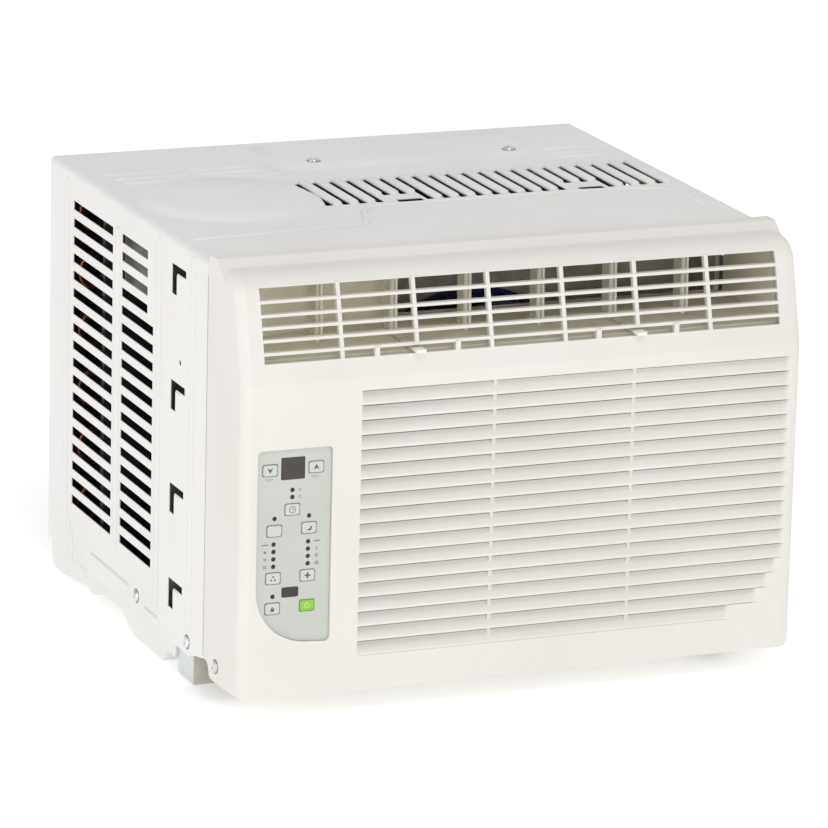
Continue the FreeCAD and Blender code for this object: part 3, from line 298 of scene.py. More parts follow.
SLOT_FINISHES: Dict[str, Finish] = {
    "enamel_steel": ENAMEL, "panel_plastic": PANEL_ABS, "overlay_film": OVERLAY_FILM,
    "smoked_window": SMOKED, "receiver_filter": RECEIVER, "lamp_lens": LAMP, "key_plastic": KEY_FILM,
    "key_green": KEY_GREEN, "zinc_plate": ZINC, "duct_plastic": DUCT, "box_plastic": BOX,
    "shroud_plastic": BLACK_SHROUD_AND_SHADE, "motor_can": MOTOR, "compressor_paint": COMPRESSOR,
    "fin_aluminium": FOIL, "copper_tube": COPPER, "circuit_board": BOARD, "component_black": COMPONENT,
    "capacitor_can": CAPACITOR, "black_rubber": RUBBER, "screw_steel": SCREW, "gland_plastic": GLAND,
    "sensor_plastic": SENSOR, "wheel_plastic": WHEEL, "filter_net": NET,
}
NODE_FINISHES: Dict[str, Finish] = {"base_pan": PAN_ENAMEL, "scroll_housing": SCROLL}
NODE_FINISHES.update({f"vane_{number}": VANE for number in range(1, 7)})


def slot_of(node: str) -> str:
    """Give the record's material slot of a CAD node.

    Args:
        node: The CAD node.

    Returns:
        The slot's name.
    """
    return frame["nodes"][node].data.materials[0].name.split(".")[0]


def finish_of(node: str) -> Finish:
    """Give the finish that a CAD node wears.

    Args:
        node: The CAD node.

    Returns:
        Its own finish, or else the one of its slot.
    """
    return NODE_FINISHES.get(node) or SLOT_FINISHES[slot_of(node)]


# ---------------------------------------------------------------- the bench

def put_down() -> None:
    """Leave edit mode and deselect everything."""
    if bpy.context.object and bpy.context.object.mode != "OBJECT":
        bpy.ops.object.mode_set(mode="OBJECT")
    bpy.ops.object.select_all(action="DESELECT")


def take_up(*pieces: Piece) -> None:
    """Select these pieces alone; the first is the active one.

    Args:
        pieces: The pieces to select.
    """
    put_down()
    for piece in pieces:
        piece.select_set(True)
    bpy.context.view_layer.objects.active = pieces[0]


@contextmanager
def editing(piece: Piece, everything: bool = False) -> Iterator[None]:
    """Work on one piece in edit mode.

    Args:
        piece: The piece to work on.
        everything: True to start with all of it selected.

    Yields:
        Nothing; the piece is in edit mode meanwhile.
    """
    take_up(piece)
    bpy.ops.object.mode_set(mode="EDIT")
    bpy.ops.mesh.select_mode(type="FACE")
    if everything:
        bpy.ops.mesh.select_all(action="SELECT")
    yield
    bpy.ops.object.mode_set(mode="OBJECT")


def blank(name: str, corners: Sequence[Point]) -> Piece:
    """Start a flat blank: a disc with a corner for each point, moved on to the points.

    Args:
        name: The piece's name.
        corners: The outline in millimetres, in order.

    Returns:
        The new piece, one face.
    """
    put_down()
    bpy.ops.mesh.primitive_circle_add(vertices=len(corners), radius=MM, fill_type="NGON")
    piece = bpy.context.object
    piece.name = piece.data.name = name
    for vertex, corner in zip(piece.data.vertices, corners):
        vertex.co = Vector(corner) * MM
    piece.data.update()
    return piece


def extrude(by_mm: Point) -> None:
    """Extrude the selected faces of the piece in edit mode.

    Args:
        by_mm: How far, in millimetres.
    """
    bpy.ops.mesh.extrude_region_move(TRANSFORM_OT_translate={"value": [part * MM for part in by_mm]})


def outward(piece: Piece) -> None:
    """Merge doubled points and turn every face outwards.

    Args:
        piece: The piece to put right.
    """
    with editing(piece, everything=True):
        bpy.ops.mesh.remove_doubles(threshold=MERGE)
        bpy.ops.mesh.normals_make_consistent(inside=False)


def slab(name: str, corners: Sequence[Point], by_mm: Point) -> Piece:
    """Make a flat slab from an outline.

    Args:
        name: The piece's name.
        corners: The outline in millimetres.
        by_mm: The way and distance it is extruded.

    Returns:
        The closed slab.
    """
    piece = blank(name, corners)
    with editing(piece, everything=True):
        extrude(by_mm)
    outward(piece)
    return piece


def apply(piece: Piece, kind: str, **settings) -> None:
    """Add a modifier, set it and apply it.

    Args:
        piece: The piece it acts on.
        kind: The modifier's type.
        settings: The modifier's properties.
    """
    take_up(piece)
    modifier = piece.modifiers.new(kind.lower(), kind)
    for name, value in settings.items():
        setattr(modifier, name, value)
    bpy.ops.object.modifier_apply(modifier=modifier.name)


def ease(piece: Piece, width_mm: float, segments: int = 2, angle: float = 35.0) -> None:
    """Round the sharp edges and smooth what is left.

    Args:
        piece: The piece to finish.
        width_mm: Width of the rounding.
        segments: Faces across the rounding.
        angle: Edges sharper than this are rounded, in degrees.
    """
    apply(piece, "BEVEL", width=width_mm * MM, segments=segments, limit_method="ANGLE",
          angle_limit=math.radians(angle), use_clamp_overlap=True)
    smooth(piece)
    apply(piece, "WEIGHTED_NORMAL", keep_sharp=True, weight=80)


def smooth(piece: Piece, angle: float = 40.0) -> None:
    """Shade smooth up to an angle.

    Args:
        piece: The piece to shade.
        angle: Edges sharper than this stay sharp, in degrees.
    """
    take_up(piece)
    bpy.ops.object.shade_smooth_by_angle(angle=math.radians(angle))


def join(name: str, pieces: Sequence[Piece]) -> Piece:
    """Join pieces into one.

    Args:
        name: The joined piece's name.
        pieces: What is joined; the first takes the rest.

    Returns:
        The joined piece.
    """
    take_up(*pieces)
    if len(pieces) > 1:
        bpy.ops.object.join()
    pieces[0].name = pieces[0].data.name = name
    return pieces[0]


def again(piece: Piece, by_mm: Point, mirror: bool = False) -> Piece:
    """Copy a piece with its own mesh and move the copy's mesh.

    Args:
        piece: The piece that is copied.
        by_mm: How far the copy is moved.
        mirror: True to mirror the copy across the middle plane.

    Returns:
        The copy.
    """
    copy = piece.copy()
    copy.data = piece.data.copy()
    bpy.context.collection.objects.link(copy)
    if mirror:
        copy.data.transform(Matrix.Diagonal((-1.0, 1.0, 1.0, 1.0)))
        copy.data.flip_normals()
    copy.data.transform(Matrix.Translation(Vector(by_mm) * MM))
    return copy


def take_copy(node: str, name: str) -> Piece:
    """Copy a CAD node's shape as a clean mesh to work on.

    Args:
        node: The CAD node.
        name: The new piece's name.

    Returns:
        The copy, merged and with its flat faces whole.
    """
    source = frame["nodes"][node]
    piece = source.copy()
    piece.data = source.data.copy()
    for key in list(piece.keys()):
        del piece[key]
    bpy.context.collection.objects.link(piece)
    piece.parent = None
    piece.matrix_world = Matrix.Identity(4)
    piece.name = piece.data.name = name
    take_up(piece)
    bpy.ops.mesh.customdata_custom_splitnormals_clear()
    with editing(piece, everything=True):
        bpy.ops.mesh.remove_doubles(threshold=MERGE)
        bpy.ops.mesh.dissolve_limited(angle_limit=NEARLY_FLAT)
    return piece


def dress(piece: Piece, finish: Finish, slot: str, body: str = CHASSIS,
          stands_for: Sequence[str] = ()) -> Piece:
    """Give a piece its finish and the body it rides on.

    Args:
        piece: The finished mesh.
        finish: What it wears.
        slot: The record's material slot; not used.
        body: The CAD body it moves with.
        stands_for: CAD nodes that it replaces.

    Returns:
        The piece.
    """
    piece.data.materials.clear()
    piece.data.materials.append(finish.make())
    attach(piece, body)
    if stands_for:
        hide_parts(*stands_for)
    LOG.info("%s: %d faces", piece.name, len(piece.data.polygons))
    return piece


def eased_copy(node: str, name: str, width_mm: float) -> Piece:
    """Replace a CAD node with a copy whose edges are rounded.

    Args:
        node: The CAD node.
        name: The new piece's name.
        width_mm: Width of the rounding.

    Returns:
        The dressed copy.
    """
    body = frame["nodes"][node]["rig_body"]
    piece = take_copy(node, name)
    ease(piece, width_mm)
    return dress(piece, finish_of(node), slot_of(node), body, [node])


def bead(name: str, points: Sequence[Point], width_mm: float, height_mm: float, axis: int) -> Piece:
    """Make a pressed bead: a half-round ridge along a path, tapered at its ends.

    Args:
        name: The piece's name.
        points: The path in millimetres, on the surface.
        width_mm: Width of the ridge.
        height_mm: How far it stands proud.
        axis: The axis that it stands along: 0 for X, 2 for Z.

    Returns:
        The ridge.
    """
    put_down()
    line = bpy.data.curves.new(name, "CURVE")
    line.dimensions = "3D"
    line.bevel_depth = width_mm * MM / 2
    line.bevel_resolution = 3
    line.use_fill_caps = True
    path = [Vector(point) * MM for point in points]
    head = (path[1] - path[0]).normalized() * width_mm * MM / 2
    tail = (path[-2] - path[-1]).normalized() * width_mm * MM / 2
    path = [path[0], path[0] + head * 0.3, path[0] + head] + path[1:-1] \
        + [path[-1] + tail, path[-1] + tail * 0.3, path[-1]]
    radii = [0.15, 0.7] + [1.0] * (len(path) - 4) + [0.7, 0.15]
    spline = line.splines.new("POLY")
    spline.points.add(len(path) - 1)
    for spot, place, radius in zip(spline.points, path, radii):
        spot.co = (*place, 1.0)
        spot.radius = radius
    piece = bpy.data.objects.new(name, line)
    bpy.context.collection.objects.link(piece)
    take_up(piece)
    bpy.ops.object.convert(target="MESH")
    piece = bpy.context.object
    flat = [1.0, 1.0, 1.0]
    flat[axis] = 2 * height_mm / width_mm
    with editing(piece, everything=True):
        bpy.ops.transform.resize(value=flat, center_override=path[0])
    outward(piece)
    smooth(piece, 60)
    return piece


def oblong(centre: Tuple[float, float], size: Tuple[float, float], radius: float,
           put: Callable[[float, float], Point], steps: int = 5) -> List[Point]:
    """Trace a rectangle with round corners.

    Args:
        centre: Its middle.
        size: Its width and height.
        radius: The corner radius.
        put: Turns the two flat measures into a point.
        steps: Points in each corner.

    Returns:
        The outline.
    """
    reach = (size[0] / 2 - radius, size[1] / 2 - radius)
    outline = []
    for corner, (side, up) in enumerate(((1, 1), (-1, 1), (-1, -1), (1, -1))):
        for step in range(steps):
            turn = math.radians(90 * corner + 90 * step / (steps - 1))
            outline.append(put(centre[0] + side * reach[0] + radius * math.cos(turn),
                               centre[1] + up * reach[1] + radius * math.sin(turn)))
    return outline


def disc(radius: float, middle: Tuple[float, float] = (0, 0), steps: int = 16) -> List[Tuple[float, float]]:
    """Trace a circle.

    Args:
        radius: Its radius.
        middle: Its middle.
        steps: Corners round it.

    Returns:
        The outline.
    """
    return [(middle[0] + radius * math.cos(2 * math.pi * step / steps),
             middle[1] + radius * math.sin(2 * math.pi * step / steps)) for step in range(steps)]


def in_steps(steps: Iterable[Tuple[float, float]]) -> None:
    """Inset the selected faces of the piece in edit mode again and again, raising them each time.

    Args:
        steps: Pairs of inset and rise, in millimetres.
    """
    for inset, rise in steps:
        bpy.ops.mesh.inset(thickness=inset * MM, depth=rise * MM)


# ---------------------------------------------------------------- casing

@dataclass
class Casing:
    """The steel wrapper, its pressed relief and the pan under it."""

    top: float = 350.0
    half: float = 235.0
    pan_half: float = 233.8
    sheet_edge: float = 0.3
    platform_slope: Tuple[Tuple[float, float], ...] = ((2.2, 0.5), (3.2, 1.2), (3.2, 1.2), (2.2, 0.5))
    dome_slope_radius: float = 75.0
    dome_slope_steps: Tuple[Tuple[float, float], ...] = ((2.2, 0.6), (3.2, 1.8), (3.2, 1.8), (2.4, 0.6))
    bead_rise: float = 1.7
    slot_first: float = -80.6
    slot_pitch: float = 14.51
    slot_width: float = 6.4
    slot_count: int = 21
    slot_front: float = -1.5
    short_slot_front: float = 21.0
    slot_rear: float = 83.5
    ridge_width: float = 9.4
    ridge_rise: float = 2.5
    short_slots: Tuple[int, ...] = (4, 5, 15, 16)
    hook_tops: Tuple[float, ...] = (329.5, 236.0, 152.0, 74.0)
    rear: float = 230.0
    screw_radius: float = 5.0
    screw_shank: float = 7.0
    washer_radius: float = 5.9
    side_screws: Tuple[Tuple[float, float], ...] = ((6.0, 36.0), (-114.0, 33.6), (-179.0, 33.3))
    top_screws: Tuple[Tuple[float, float], ...] = ((-37.3, 139.8), (136.4, 137.0))
    rear_screws: Tuple[Tuple[float, float], ...] = ((-225.0, 70.0), (225.0, 70.0), (-225.0, 300.0),
                                                    (225.0, 300.0))

    def wrapper(self) -> None:
        """The sheet itself, with its cut edges eased."""
        piece = take_copy("cabinet_shell", "casing_wrapper")
        ease(piece, self.sheet_edge)
        dress(piece, ENAMEL, "enamel_steel", stands_for=["cabinet_shell"])

    def pan(self) -> None:
        """The pan below the wrapper."""
        eased_copy("base_pan", "casing_pan", 0.6)

    def platform(self) -> None:
        """Raised field at the rear of the top, with wide sloping sides."""
        outline = [(-70, 215), (-70, 129), (-60, 119), (150, 119), (170, 139), (170, 215)]
        piece = blank("top_rear_platform", [(x, y, self.top - 0.1) for x, y in outline])
        with editing(piece, everything=True):
            bpy.ops.mesh.normals_make_consistent(inside=False)
        if piece.data.polygons[0].normal.z < 0:
            with editing(piece, everything=True):
                bpy.ops.mesh.flip_normals()
        with editing(piece, everything=True):
            in_steps(self.platform_slope)
        smooth(piece, 60)
        dress(piece, ENAMEL, "enamel_steel")

    def beads(self) -> None:
        """Short stiffening beads at the rear corners and the long one across the front."""
        runs = []
        for row, depth in enumerate((148, 131.5, 115.5)):
            runs.append(((-218 + 3 * row, depth), (-150 + 2 * row, depth)))
            runs.append(((-144 + 2 * row, depth), (-77 + 2 * row, depth)))
        for depth in (141, 124.5, 110.7):
            runs.append(((168, depth), (219, depth)))
        pieces = [bead(f"bead_{count}", [(x, y, self.top) for x, y in run], 8.0, self.bead_rise, 2)
                  for count, run in enumerate(runs)]
        dress(join("top_short_beads", pieces), ENAMEL, "enamel_steel")
        line = [(-224, -84), (-77, -73), (-71, -66), (-59, -27), (-49, -16), (-29, -13), (8, -13), (136, -11),
                (185, -14), (204, -21), (209, -29), (212, -57), (215, -82)]
        long_bead = bead("top_long_bead", [(x, y, self.top) for x, y in line], 5.5, self.bead_rise, 2)
        dress(long_bead, ENAMEL, "enamel_steel")

    def dome_slope(self) -> None:
        """The pressed slope round the raised disc over the compressor."""
        centre = Vector((-150, 34, self.top)) * MM
        put_down()
        bpy.ops.mesh.primitive_circle_add(vertices=96, radius=self.dome_slope_radius * MM, fill_type="NGON",
                                          location=centre)
        piece = bpy.context.object
        piece.name = piece.data.name = "top_round_slope"
        bpy.ops.object.transform_apply(location=True)
        with editing(piece, everything=True):
            in_steps(self.dome_slope_steps)
        smooth(piece, 60)
        dress(piece, ENAMEL, "enamel_steel")

    def louvres(self) -> None:
        """Half-round ridges between the slots of the top."""
        ridges = []
        for column in range(self.slot_count + 1):
            x = self.slot_first + self.slot_pitch * column - (self.slot_pitch - self.slot_width) / 2
            beside_short = column in self.short_slots or column - 1 in self.short_slots
            front = self.short_slot_front if beside_short else self.slot_front
            run = [(x, y, self.top) for y in (front, 40.0, self.slot_rear)]
            ridges.append(bead(f"ridge_{column}", run, self.ridge_width, self.ridge_rise, 2))
        dress(join("top_louvre_ridges", ridges), ENAMEL, "enamel_steel")

    def pips(self) -> None:
        """Four small locating pips near the front of the top."""
        pips = []
        for count, (x, y) in enumerate(((-175, -101), (-56.5, -91), (65.6, -104), (182, -97))):
            piece = blank(f"pip_{count}", oblong((x, y), (6, 3.4), 1.6, lambda a, b: (a, b, self.top)))
            with editing(piece, everything=True):
                in_steps(((0.5, 0.5), (0.5, 0.3)))
            smooth(piece, 60)
            pips.append(piece)
        dress(join("top_pips", pips), ENAMEL, "enamel_steel")

    def side_press(self) -> None:
        """Pressed lines that stiffen each side."""
        lines = {
            "rear": ([(186, 342), (186, 60), (176, 46), (170, 40), (168, 24)], 9.0, 1.5),
            "middle": ([(60, 330), (60, 56)], 9.0, 1.7),
            "front": ([(-40, 345), (-40, 40)], 8.0, 1.5),
            "edge": ([(-118, 346), (-118, 42)], 7.0, 1.3),
            "low_rear": ([(120, 37), (25, 37)], 7.0, 1.6),
            "low_front": ([(-12, 30), (-48, 30)], 7.0, 1.6),
        }
        for side, sign in (("left", -1), ("right", 1)):
            parts = [bead(f"press_{side}_{name}", [(sign * self.half, y, z) for y, z in run], width, rise, 0)
                     for name, (run, width, rise) in lines.items()]
            dress(join(f"side_press_{side}", parts), ENAMEL, "enamel_steel")

    def hook_tabs(self) -> None:
        """Tongues beside the hook slots, folded a little proud of the sheet."""
        shape = [(0.2, -94.5), (-0.25, -93.5), (-0.6, -92.0), (-0.7, -86.5), (-0.7, -82.6), (-0.5, -81.2),
                 (0.2, -81.1)]
        tabs = []
        for step, high in enumerate(self.hook_tops):
            tab = slab(f"tab_{step}", [(-self.half + x, y, high - 24.0) for x, y in shape], (0, 0, 16.8))
            ease(tab, 0.15)
            tabs.append(tab)
        left = join("hook_tabs_left", tabs)
        right = again(left, (0, 0, 0), mirror=True)
        right.name = right.data.name = "hook_tabs_right"
        for tongues in (left, right):
            dress(tongues, ENAMEL, "enamel_steel")

    def joint_seal(self) -> None:
        """A felt strip in the joint between wrapper and front moulding: its darker tone is painted shadow of
        the seam.
        """
        strips = [slab(f"seal_{sign}", [(sign * (self.half - 1.5), y, 34.5) for y in (-151.7, -150.7)]
                       + [(sign * (self.half + 0.12), y, 34.5) for y in (-150.7, -151.7)], (0, 0, 305))
                  for sign in (-1, 1)]
        # The strip's darker tone is painted shadow in the seam between wrapper and front moulding.
        dress(join("joint_seal", strips), FELT_AND_SEAM_SHADE, "shroud_plastic")

    def pan_ribs(self) -> None:
        """Upright ribs pressed into the pan's sides near the rear."""
        ribs = []
        for count, y in enumerate((136, 146, 157, 170)):
            run = [(-self.pan_half, y, z) for z in (21.5, 15, 8.5)]
            ribs.append(bead(f"pan_rib_{count}", run, 6.0, 0.9, 0))
        left = join("pan_ribs_left", ribs)
        right = again(left, (0, 0, 0), mirror=True)
        right.name = right.data.name = "pan_ribs_right"
        for side in (left, right):
            dress(side, PAN_ENAMEL, "enamel_steel")

    def screws(self) -> None:
        """Domed screws with a round drive, each on a dark washer that paints the shadow and dark reflection
        round its head.
        """
        head = blank("screw_head", [(x, y, -self.screw_shank)
                                    for x, y in disc(self.screw_radius, steps=20)])
        with editing(head, everything=True):
            bpy.ops.transform.resize(value=(0.4, 0.4, 1), center_override=(0, 0, -self.screw_shank * MM))
            extrude((0, 0, self.screw_shank))
            bpy.ops.mesh.inset(thickness=0)
            bpy.ops.transform.resize(value=(2.5, 2.5, 1), center_override=(0, 0, 0))
            extrude((0, 0, 0.7))
            in_steps(((0.7, 0.75), (1.1, 0.55), (1.2, 0.25), (0.3, -0.1), (0.3, -0.8)))
        outward(head)
        smooth(head, 50)
        # The washers' dark finish is painted shadow and painted dark reflection round each screw head.
        washer = slab("screw_shade_ring", [(x, y, 0) for x, y in disc(self.washer_radius, steps=24)],
                      (0, 0, 0.2))
        places = [(Matrix.Rotation(math.radians(90 * sign), 4, "Y"), (sign * self.half, y, z))
                  for sign in (-1, 1) for y, z in self.side_screws]
        raised = self.top + sum(rise for _, rise in self.platform_slope)
        places += [(Matrix.Identity(4), (x, y, raised)) for x, y in self.top_screws]
        places += [(Matrix.Rotation(math.radians(-90), 4, "X"), (x, self.rear, z))
                   for x, z in self.rear_screws]
        for name, first, finish, replaced in (("casing_screw_heads", head, SCREW, ["casing_screws"]),
                                              ("casing_washer_shades", washer, SCREW_SHADE_RING, [])):
            copies = []
            for turn, spot in places:
                copy = again(first, (0, 0, 0))
                copy.data.transform(Matrix.Translation(Vector(spot) * MM) @ turn)
                copies.append(copy)
            bpy.data.objects.remove(first)
            dress(join(name, copies), finish, "screw_steel", stands_for=replaced)

    def build(self) -> None:
        """Build the casing, part by part."""
        self.wrapper()
        self.pan()
        self.platform()
        self.beads()
        self.dome_slope()
        self.louvres()
        self.pips()
        self.side_press()
        self.hook_tabs()
        self.joint_seal()
        self.pan_ribs()
        self.screws()


# ---------------------------------------------------------------- front

@dataclass
class Front:
    """The moulded front: frame, outlet grille and the sloping slats of the intake."""

    face: float = -230.0
    nose_first: float = 260.2
    pitch: float = 11.8
    count: int = 18
    gap: float = 2.0
    left: float = -136.0
    right: float = 222.5
    short_rights: Tuple[float, ...] = (217.0, 210.0, 201.0, 177.0)
    slat_depth: float = 5.2

    def skin(self) -> None:
        """The moulding, with the intake cut out for its slats."""
        piece = take_copy("front_panel", "front_moulding")
        lowest = self.nose_first - self.pitch * self.count
        outline = [(self.left - 1.5, self.face - 5, lowest), (226.0, self.face - 5, lowest),
                   (226.0, self.face - 5, self.nose_first), (self.left - 1.5, self.face - 5, self.nose_first)]
        cutter = slab("intake_cutter", outline, (0, 13.5, 0))
        apply(piece, "BOOLEAN", operation="DIFFERENCE", solver="EXACT", object=cutter)
        bpy.data.objects.remove(cutter)
        with editing(piece, everything=True):
            bpy.ops.mesh.remove_doubles(threshold=0.000005)
            bpy.ops.mesh.dissolve_limited(angle_limit=NEARLY_FLAT)
        ease(piece, 0.5)
        dress(piece, PANEL_ABS, "panel_plastic", stands_for=["front_panel"])

    def slat(self, row: int, right: float) -> Piece:
        """One slat: a scooped face that ends in a round nose, run out flush at both ends.

        Args:
            row: Which slat, from the top.
            right: Where its gap ends on the right.

        Returns:
            The slat.
        """
        bottom = self.nose_first - self.pitch * (row + 1)
        tall = self.pitch - self.gap
        profile = [(0.0, 1.3), (0.12, 0.55), (0.6, 0.0), (1.5, 0.1), (2.9, 1.5), (5.0, 4.6),
                   (6.6, tall - 0.4), (6.2, tall), (self.slat_depth, tall), (4.75, 8.3), (3.7, 6.6),
                   (2.3, 4.8), (1.05, 3.2), (0.25, 2.1)]
        flush = 0.012
        stations = [(self.left - 3.2, flush), (self.left - 2.2, 0.1), (self.left - 1.2, 0.36),
                    (self.left - 0.2, 0.72), (self.left + 1.2, 1.0), (right - 2.0, 1.0), (right - 0.4, 0.72),
                    (right + 0.8, 0.36), (right + 2.0, 0.1), (right + 3.2, flush)]
        stations.append((self.right + 4.6, flush))
        full = self.pitch / tall
        front = self.face - 0.03
        sized = [(x, share, full + (1 - full) * share) for x, share in stations]
        first = sized[0]
        piece = blank(f"slat_{row}", [(first[0], front + depth * first[1], bottom + up * first[2])
                                      for depth, up in profile])
        with editing(piece, everything=True):
            for before, after in zip(sized, sized[1:]):
                extrude((after[0] - before[0], 0, 0))
                bpy.ops.transform.resize(value=(1, after[1] / before[1], after[2] / before[2]),
                                         center_override=(after[0] * MM, front * MM, bottom * MM))
        outward(piece)
        smooth(piece, 50)
        return piece

    def slats(self) -> None:
        """All the slats of the intake and the two ribs behind them."""
        same = self.count - len(self.short_rights)
        first = self.slat(0, self.right)
        rows = [first] + [again(first, (0, 0, -self.pitch * row)) for row in range(1, same)]
        rows += [self.slat(same + step, right) for step, right in enumerate(self.short_rights)]
        strip = [(self.left - 0.2, self.face - 0.01, self.nose_first - 0.1),
                 (self.right + 0.2, self.face - 0.01, self.nose_first - 0.1),
                 (self.right + 0.2, self.face - 0.01, self.nose_first + 1.7),
                 (self.left - 0.2, self.face - 0.01, self.nose_first + 1.7)]
        rows.append(slab("intake_lip", strip, (0, 2.9, 0)))
        dress(join("intake_slats", rows), PANEL_ABS, "panel_plastic")
        ribs = []
        low = self.nose_first - self.pitch * self.count + 2
        for count, x in enumerate((-26.0, 91.5)):
            rib = slab(f"rib_{count}", [(x - 1.6, self.face + 3.6, low), (x + 1.6, self.face + 3.6, low),
                                        (x + 1.3, self.face + 8.0, low), (x - 1.3, self.face + 8.0, low)],
                       (0, 0, self.nose_first + 1 - low))
            ease(rib, 0.3)
            ribs.append(rib)
        dress(join("intake_ribs", ribs), PANEL_ABS, "panel_plastic")

    def vanes(self) -> None:
        """The swinging vanes and the bars that link them, with moulded edges."""
        for number in range(1, 7):
            eased_copy(f"vane_{number}", f"vane_blade_{number}", 0.5)
        for side in ("left", "right"):
            eased_copy(f"vane_link_{side}", f"vane_bar_{side}", 0.4)

    def build(self) -> None:
        """Build the front, part by part."""
        self.skin()
        self.slats()
        self.vanes()


# ---------------------------------------------------------------- controls

class Icon(Enum):
    """Generic signs printed on the keys."""

    DOWN = "arrow down"
    UP = "arrow up"
    CLOCK = "clock"
    BLANK = "no sign"
    MOON = "moon"
    DOTS = "three dots"
    FAN = "fan"
    LOCK = "lock"
    POWER = "power"


@dataclass
class Controls:
    """The keys, their printed frames and signs, the windows and the lamps."""

    film: float = -227.6
    key_face: float = -228.2
    key_size: Tuple[float, float] = (11.4, 8.5)
    ink: float = 0.07
    keys: Tuple[Tuple[str, float, float, Icon], ...] = (
        ("temp_down", -211.0, 202.3, Icon.DOWN), ("temp_up", -173.3, 202.4, Icon.UP),
        ("timer", -192.3, 170.1, Icon.CLOCK), ("energy", -206.7, 154.0, Icon.BLANK),
        ("sleep", -178.4, 154.4, Icon.MOON), ("mode", -207.1, 116.2, Icon.DOTS),
        ("fan", -179.0, 116.5, Icon.FAN), ("lock", -207.3, 92.0, Icon.LOCK),
        ("power", -179.0, 92.4, Icon.POWER))

    def stamp(self, name: str, shapes: Sequence[Sequence[Tuple[float, float]]], x: float, z: float,
              face: float) -> Piece:
        """Print flat shapes as a thin layer of ink.

        Args:
            name: The piece's name.
            shapes: Outlines about the sign's middle.
            x: The middle, across.
            z: The middle, upwards.
            face: The depth of the surface that is printed on.

        Returns:
            The layer of ink.
        """
        sunk = 0.02
        layers = [slab(f"{name}_{count}", [(x + a, face + sunk, z + b) for a, b in shape],
                       (0, -sunk - self.ink, 0))
                  for count, shape in enumerate(shapes)]
        return join(name, layers)

    @staticmethod
    def ring(outer: float, inner: float, start: float = 0.0, sweep: float = 360.0,
             middle: Tuple[float, float] = (0, 0), steps: int = 28) -> List[List[Tuple[float, float]]]:
        """Trace a ring, or an arc of one, as a row of small blocks.

        Args:
            outer: Outer radius.
            inner: Inner radius.
            start: Where the arc starts, in degrees from +X.
            sweep: How far it goes round.
            middle: The ring's middle.
            steps: Blocks in the ring.

        Returns:
            The blocks' outlines.
        """
        blocks = []
        for step in range(steps):
            turns = [math.radians(start + sweep * (step + part) / steps) for part in (0, 1.02)]
            corners = [(inner, turns[0]), (outer, turns[0]), (outer, turns[1]), (inner, turns[1])]
            blocks.append([(middle[0] + r * math.cos(t), middle[1] + r * math.sin(t)) for r, t in corners])
        return blocks

    @staticmethod
    def petal(turn: float) -> List[Tuple[float, float]]:
        """Trace one petal of the fan sign.

        Args:
            turn: How far it is turned, in degrees.

        Returns:
            The outline.
        """
        outline = []
        for step in range(12):
            part = 2 * math.pi * step / 12
            along, across = 1.35 - 1.25 * math.cos(part), 0.68 * math.sin(part)
            way = math.radians(turn)
            outline.append((along * math.cos(way) - across * math.sin(way),
                            along * math.sin(way) + across * math.cos(way)))
        return outline

    def sign(self, icon: Icon) -> List[List[Tuple[float, float]]]:
        """Give the outlines of a sign.

        Args:
            icon: Which sign; the last one left is the power sign.

        Returns:
            Its outlines, about its middle.
        """
        if icon in (Icon.UP, Icon.DOWN):
            up = 1 if icon is Icon.UP else -1
            return [[(0, 2.3 * up), (-2.3, -2.0 * up), (0, -0.8 * up)],
                    [(0, 2.3 * up), (0, -0.8 * up), (2.3, -2.0 * up)]]
        if icon is Icon.CLOCK:
            return self.ring(2.7, 2.3) + [[(-0.2, -0.2), (0.2, -0.2), (0.2, 1.6), (-0.2, 1.6)],
                                          [(-0.2, -0.2), (1.3, -0.2), (1.3, 0.2), (-0.2, 0.2)]]
        if icon is Icon.MOON:
            outline = [(2.2 * math.cos(math.radians(a)), 2.2 * math.sin(math.radians(a)))
                       for a in range(-130, 61, 10)]
            inner = [(-0.9 + 1.9 * math.cos(math.radians(a)), 0.8 + 1.9 * math.sin(math.radians(a)))
                     for a in range(38, -121, -10)]
            return [[a, b, c, d] for a, b, c, d in zip(outline, outline[1:], inner[::-1][1:], inner[::-1])]
        if icon is Icon.DOTS:
            return [disc(0.75, spot) for spot in ((0, 1.4), (-1.5, -1.2), (1.5, -1.2))]
        if icon is Icon.FAN:
            return [self.petal(90 * step) for step in range(4)] + [disc(0.45)]
        if icon is Icon.LOCK:
            return [[(-1.4, -2.1), (1.4, -2.1), (1.4, 0.3), (-1.4, 0.3)]] \
                + self.ring(1.1, 0.75, 0, 180, (0, 0.3), 12)
        return self.ring(2.3, 1.85, 125, 290) + [[(-0.25, 0.2), (0.25, 0.2), (0.25, 2.7), (-0.25, 2.7)]]

    def key(self, name: str, x: float, z: float, icon: Icon) -> None:
        """One key with its printed sign.

        Args:
            name: The key's name.
            x: Its middle, across.
            z: Its middle, upwards.
            icon: Its sign.
        """
        body = f"key_{name}"
        green = icon is Icon.POWER
        piece = take_copy(body, f"cap_{name}")
        ease(piece, 0.22, 3)
        dress(piece, KEY_GREEN if green else KEY_FILM, slot_of(body), body, [body])
        if icon is not Icon.BLANK:
            mark = self.stamp(f"cap_sign_{name}", self.sign(icon), x, z, self.key_face)
            dress(mark, INK_PALE if green else INK_DARK, slot_of(body), body)

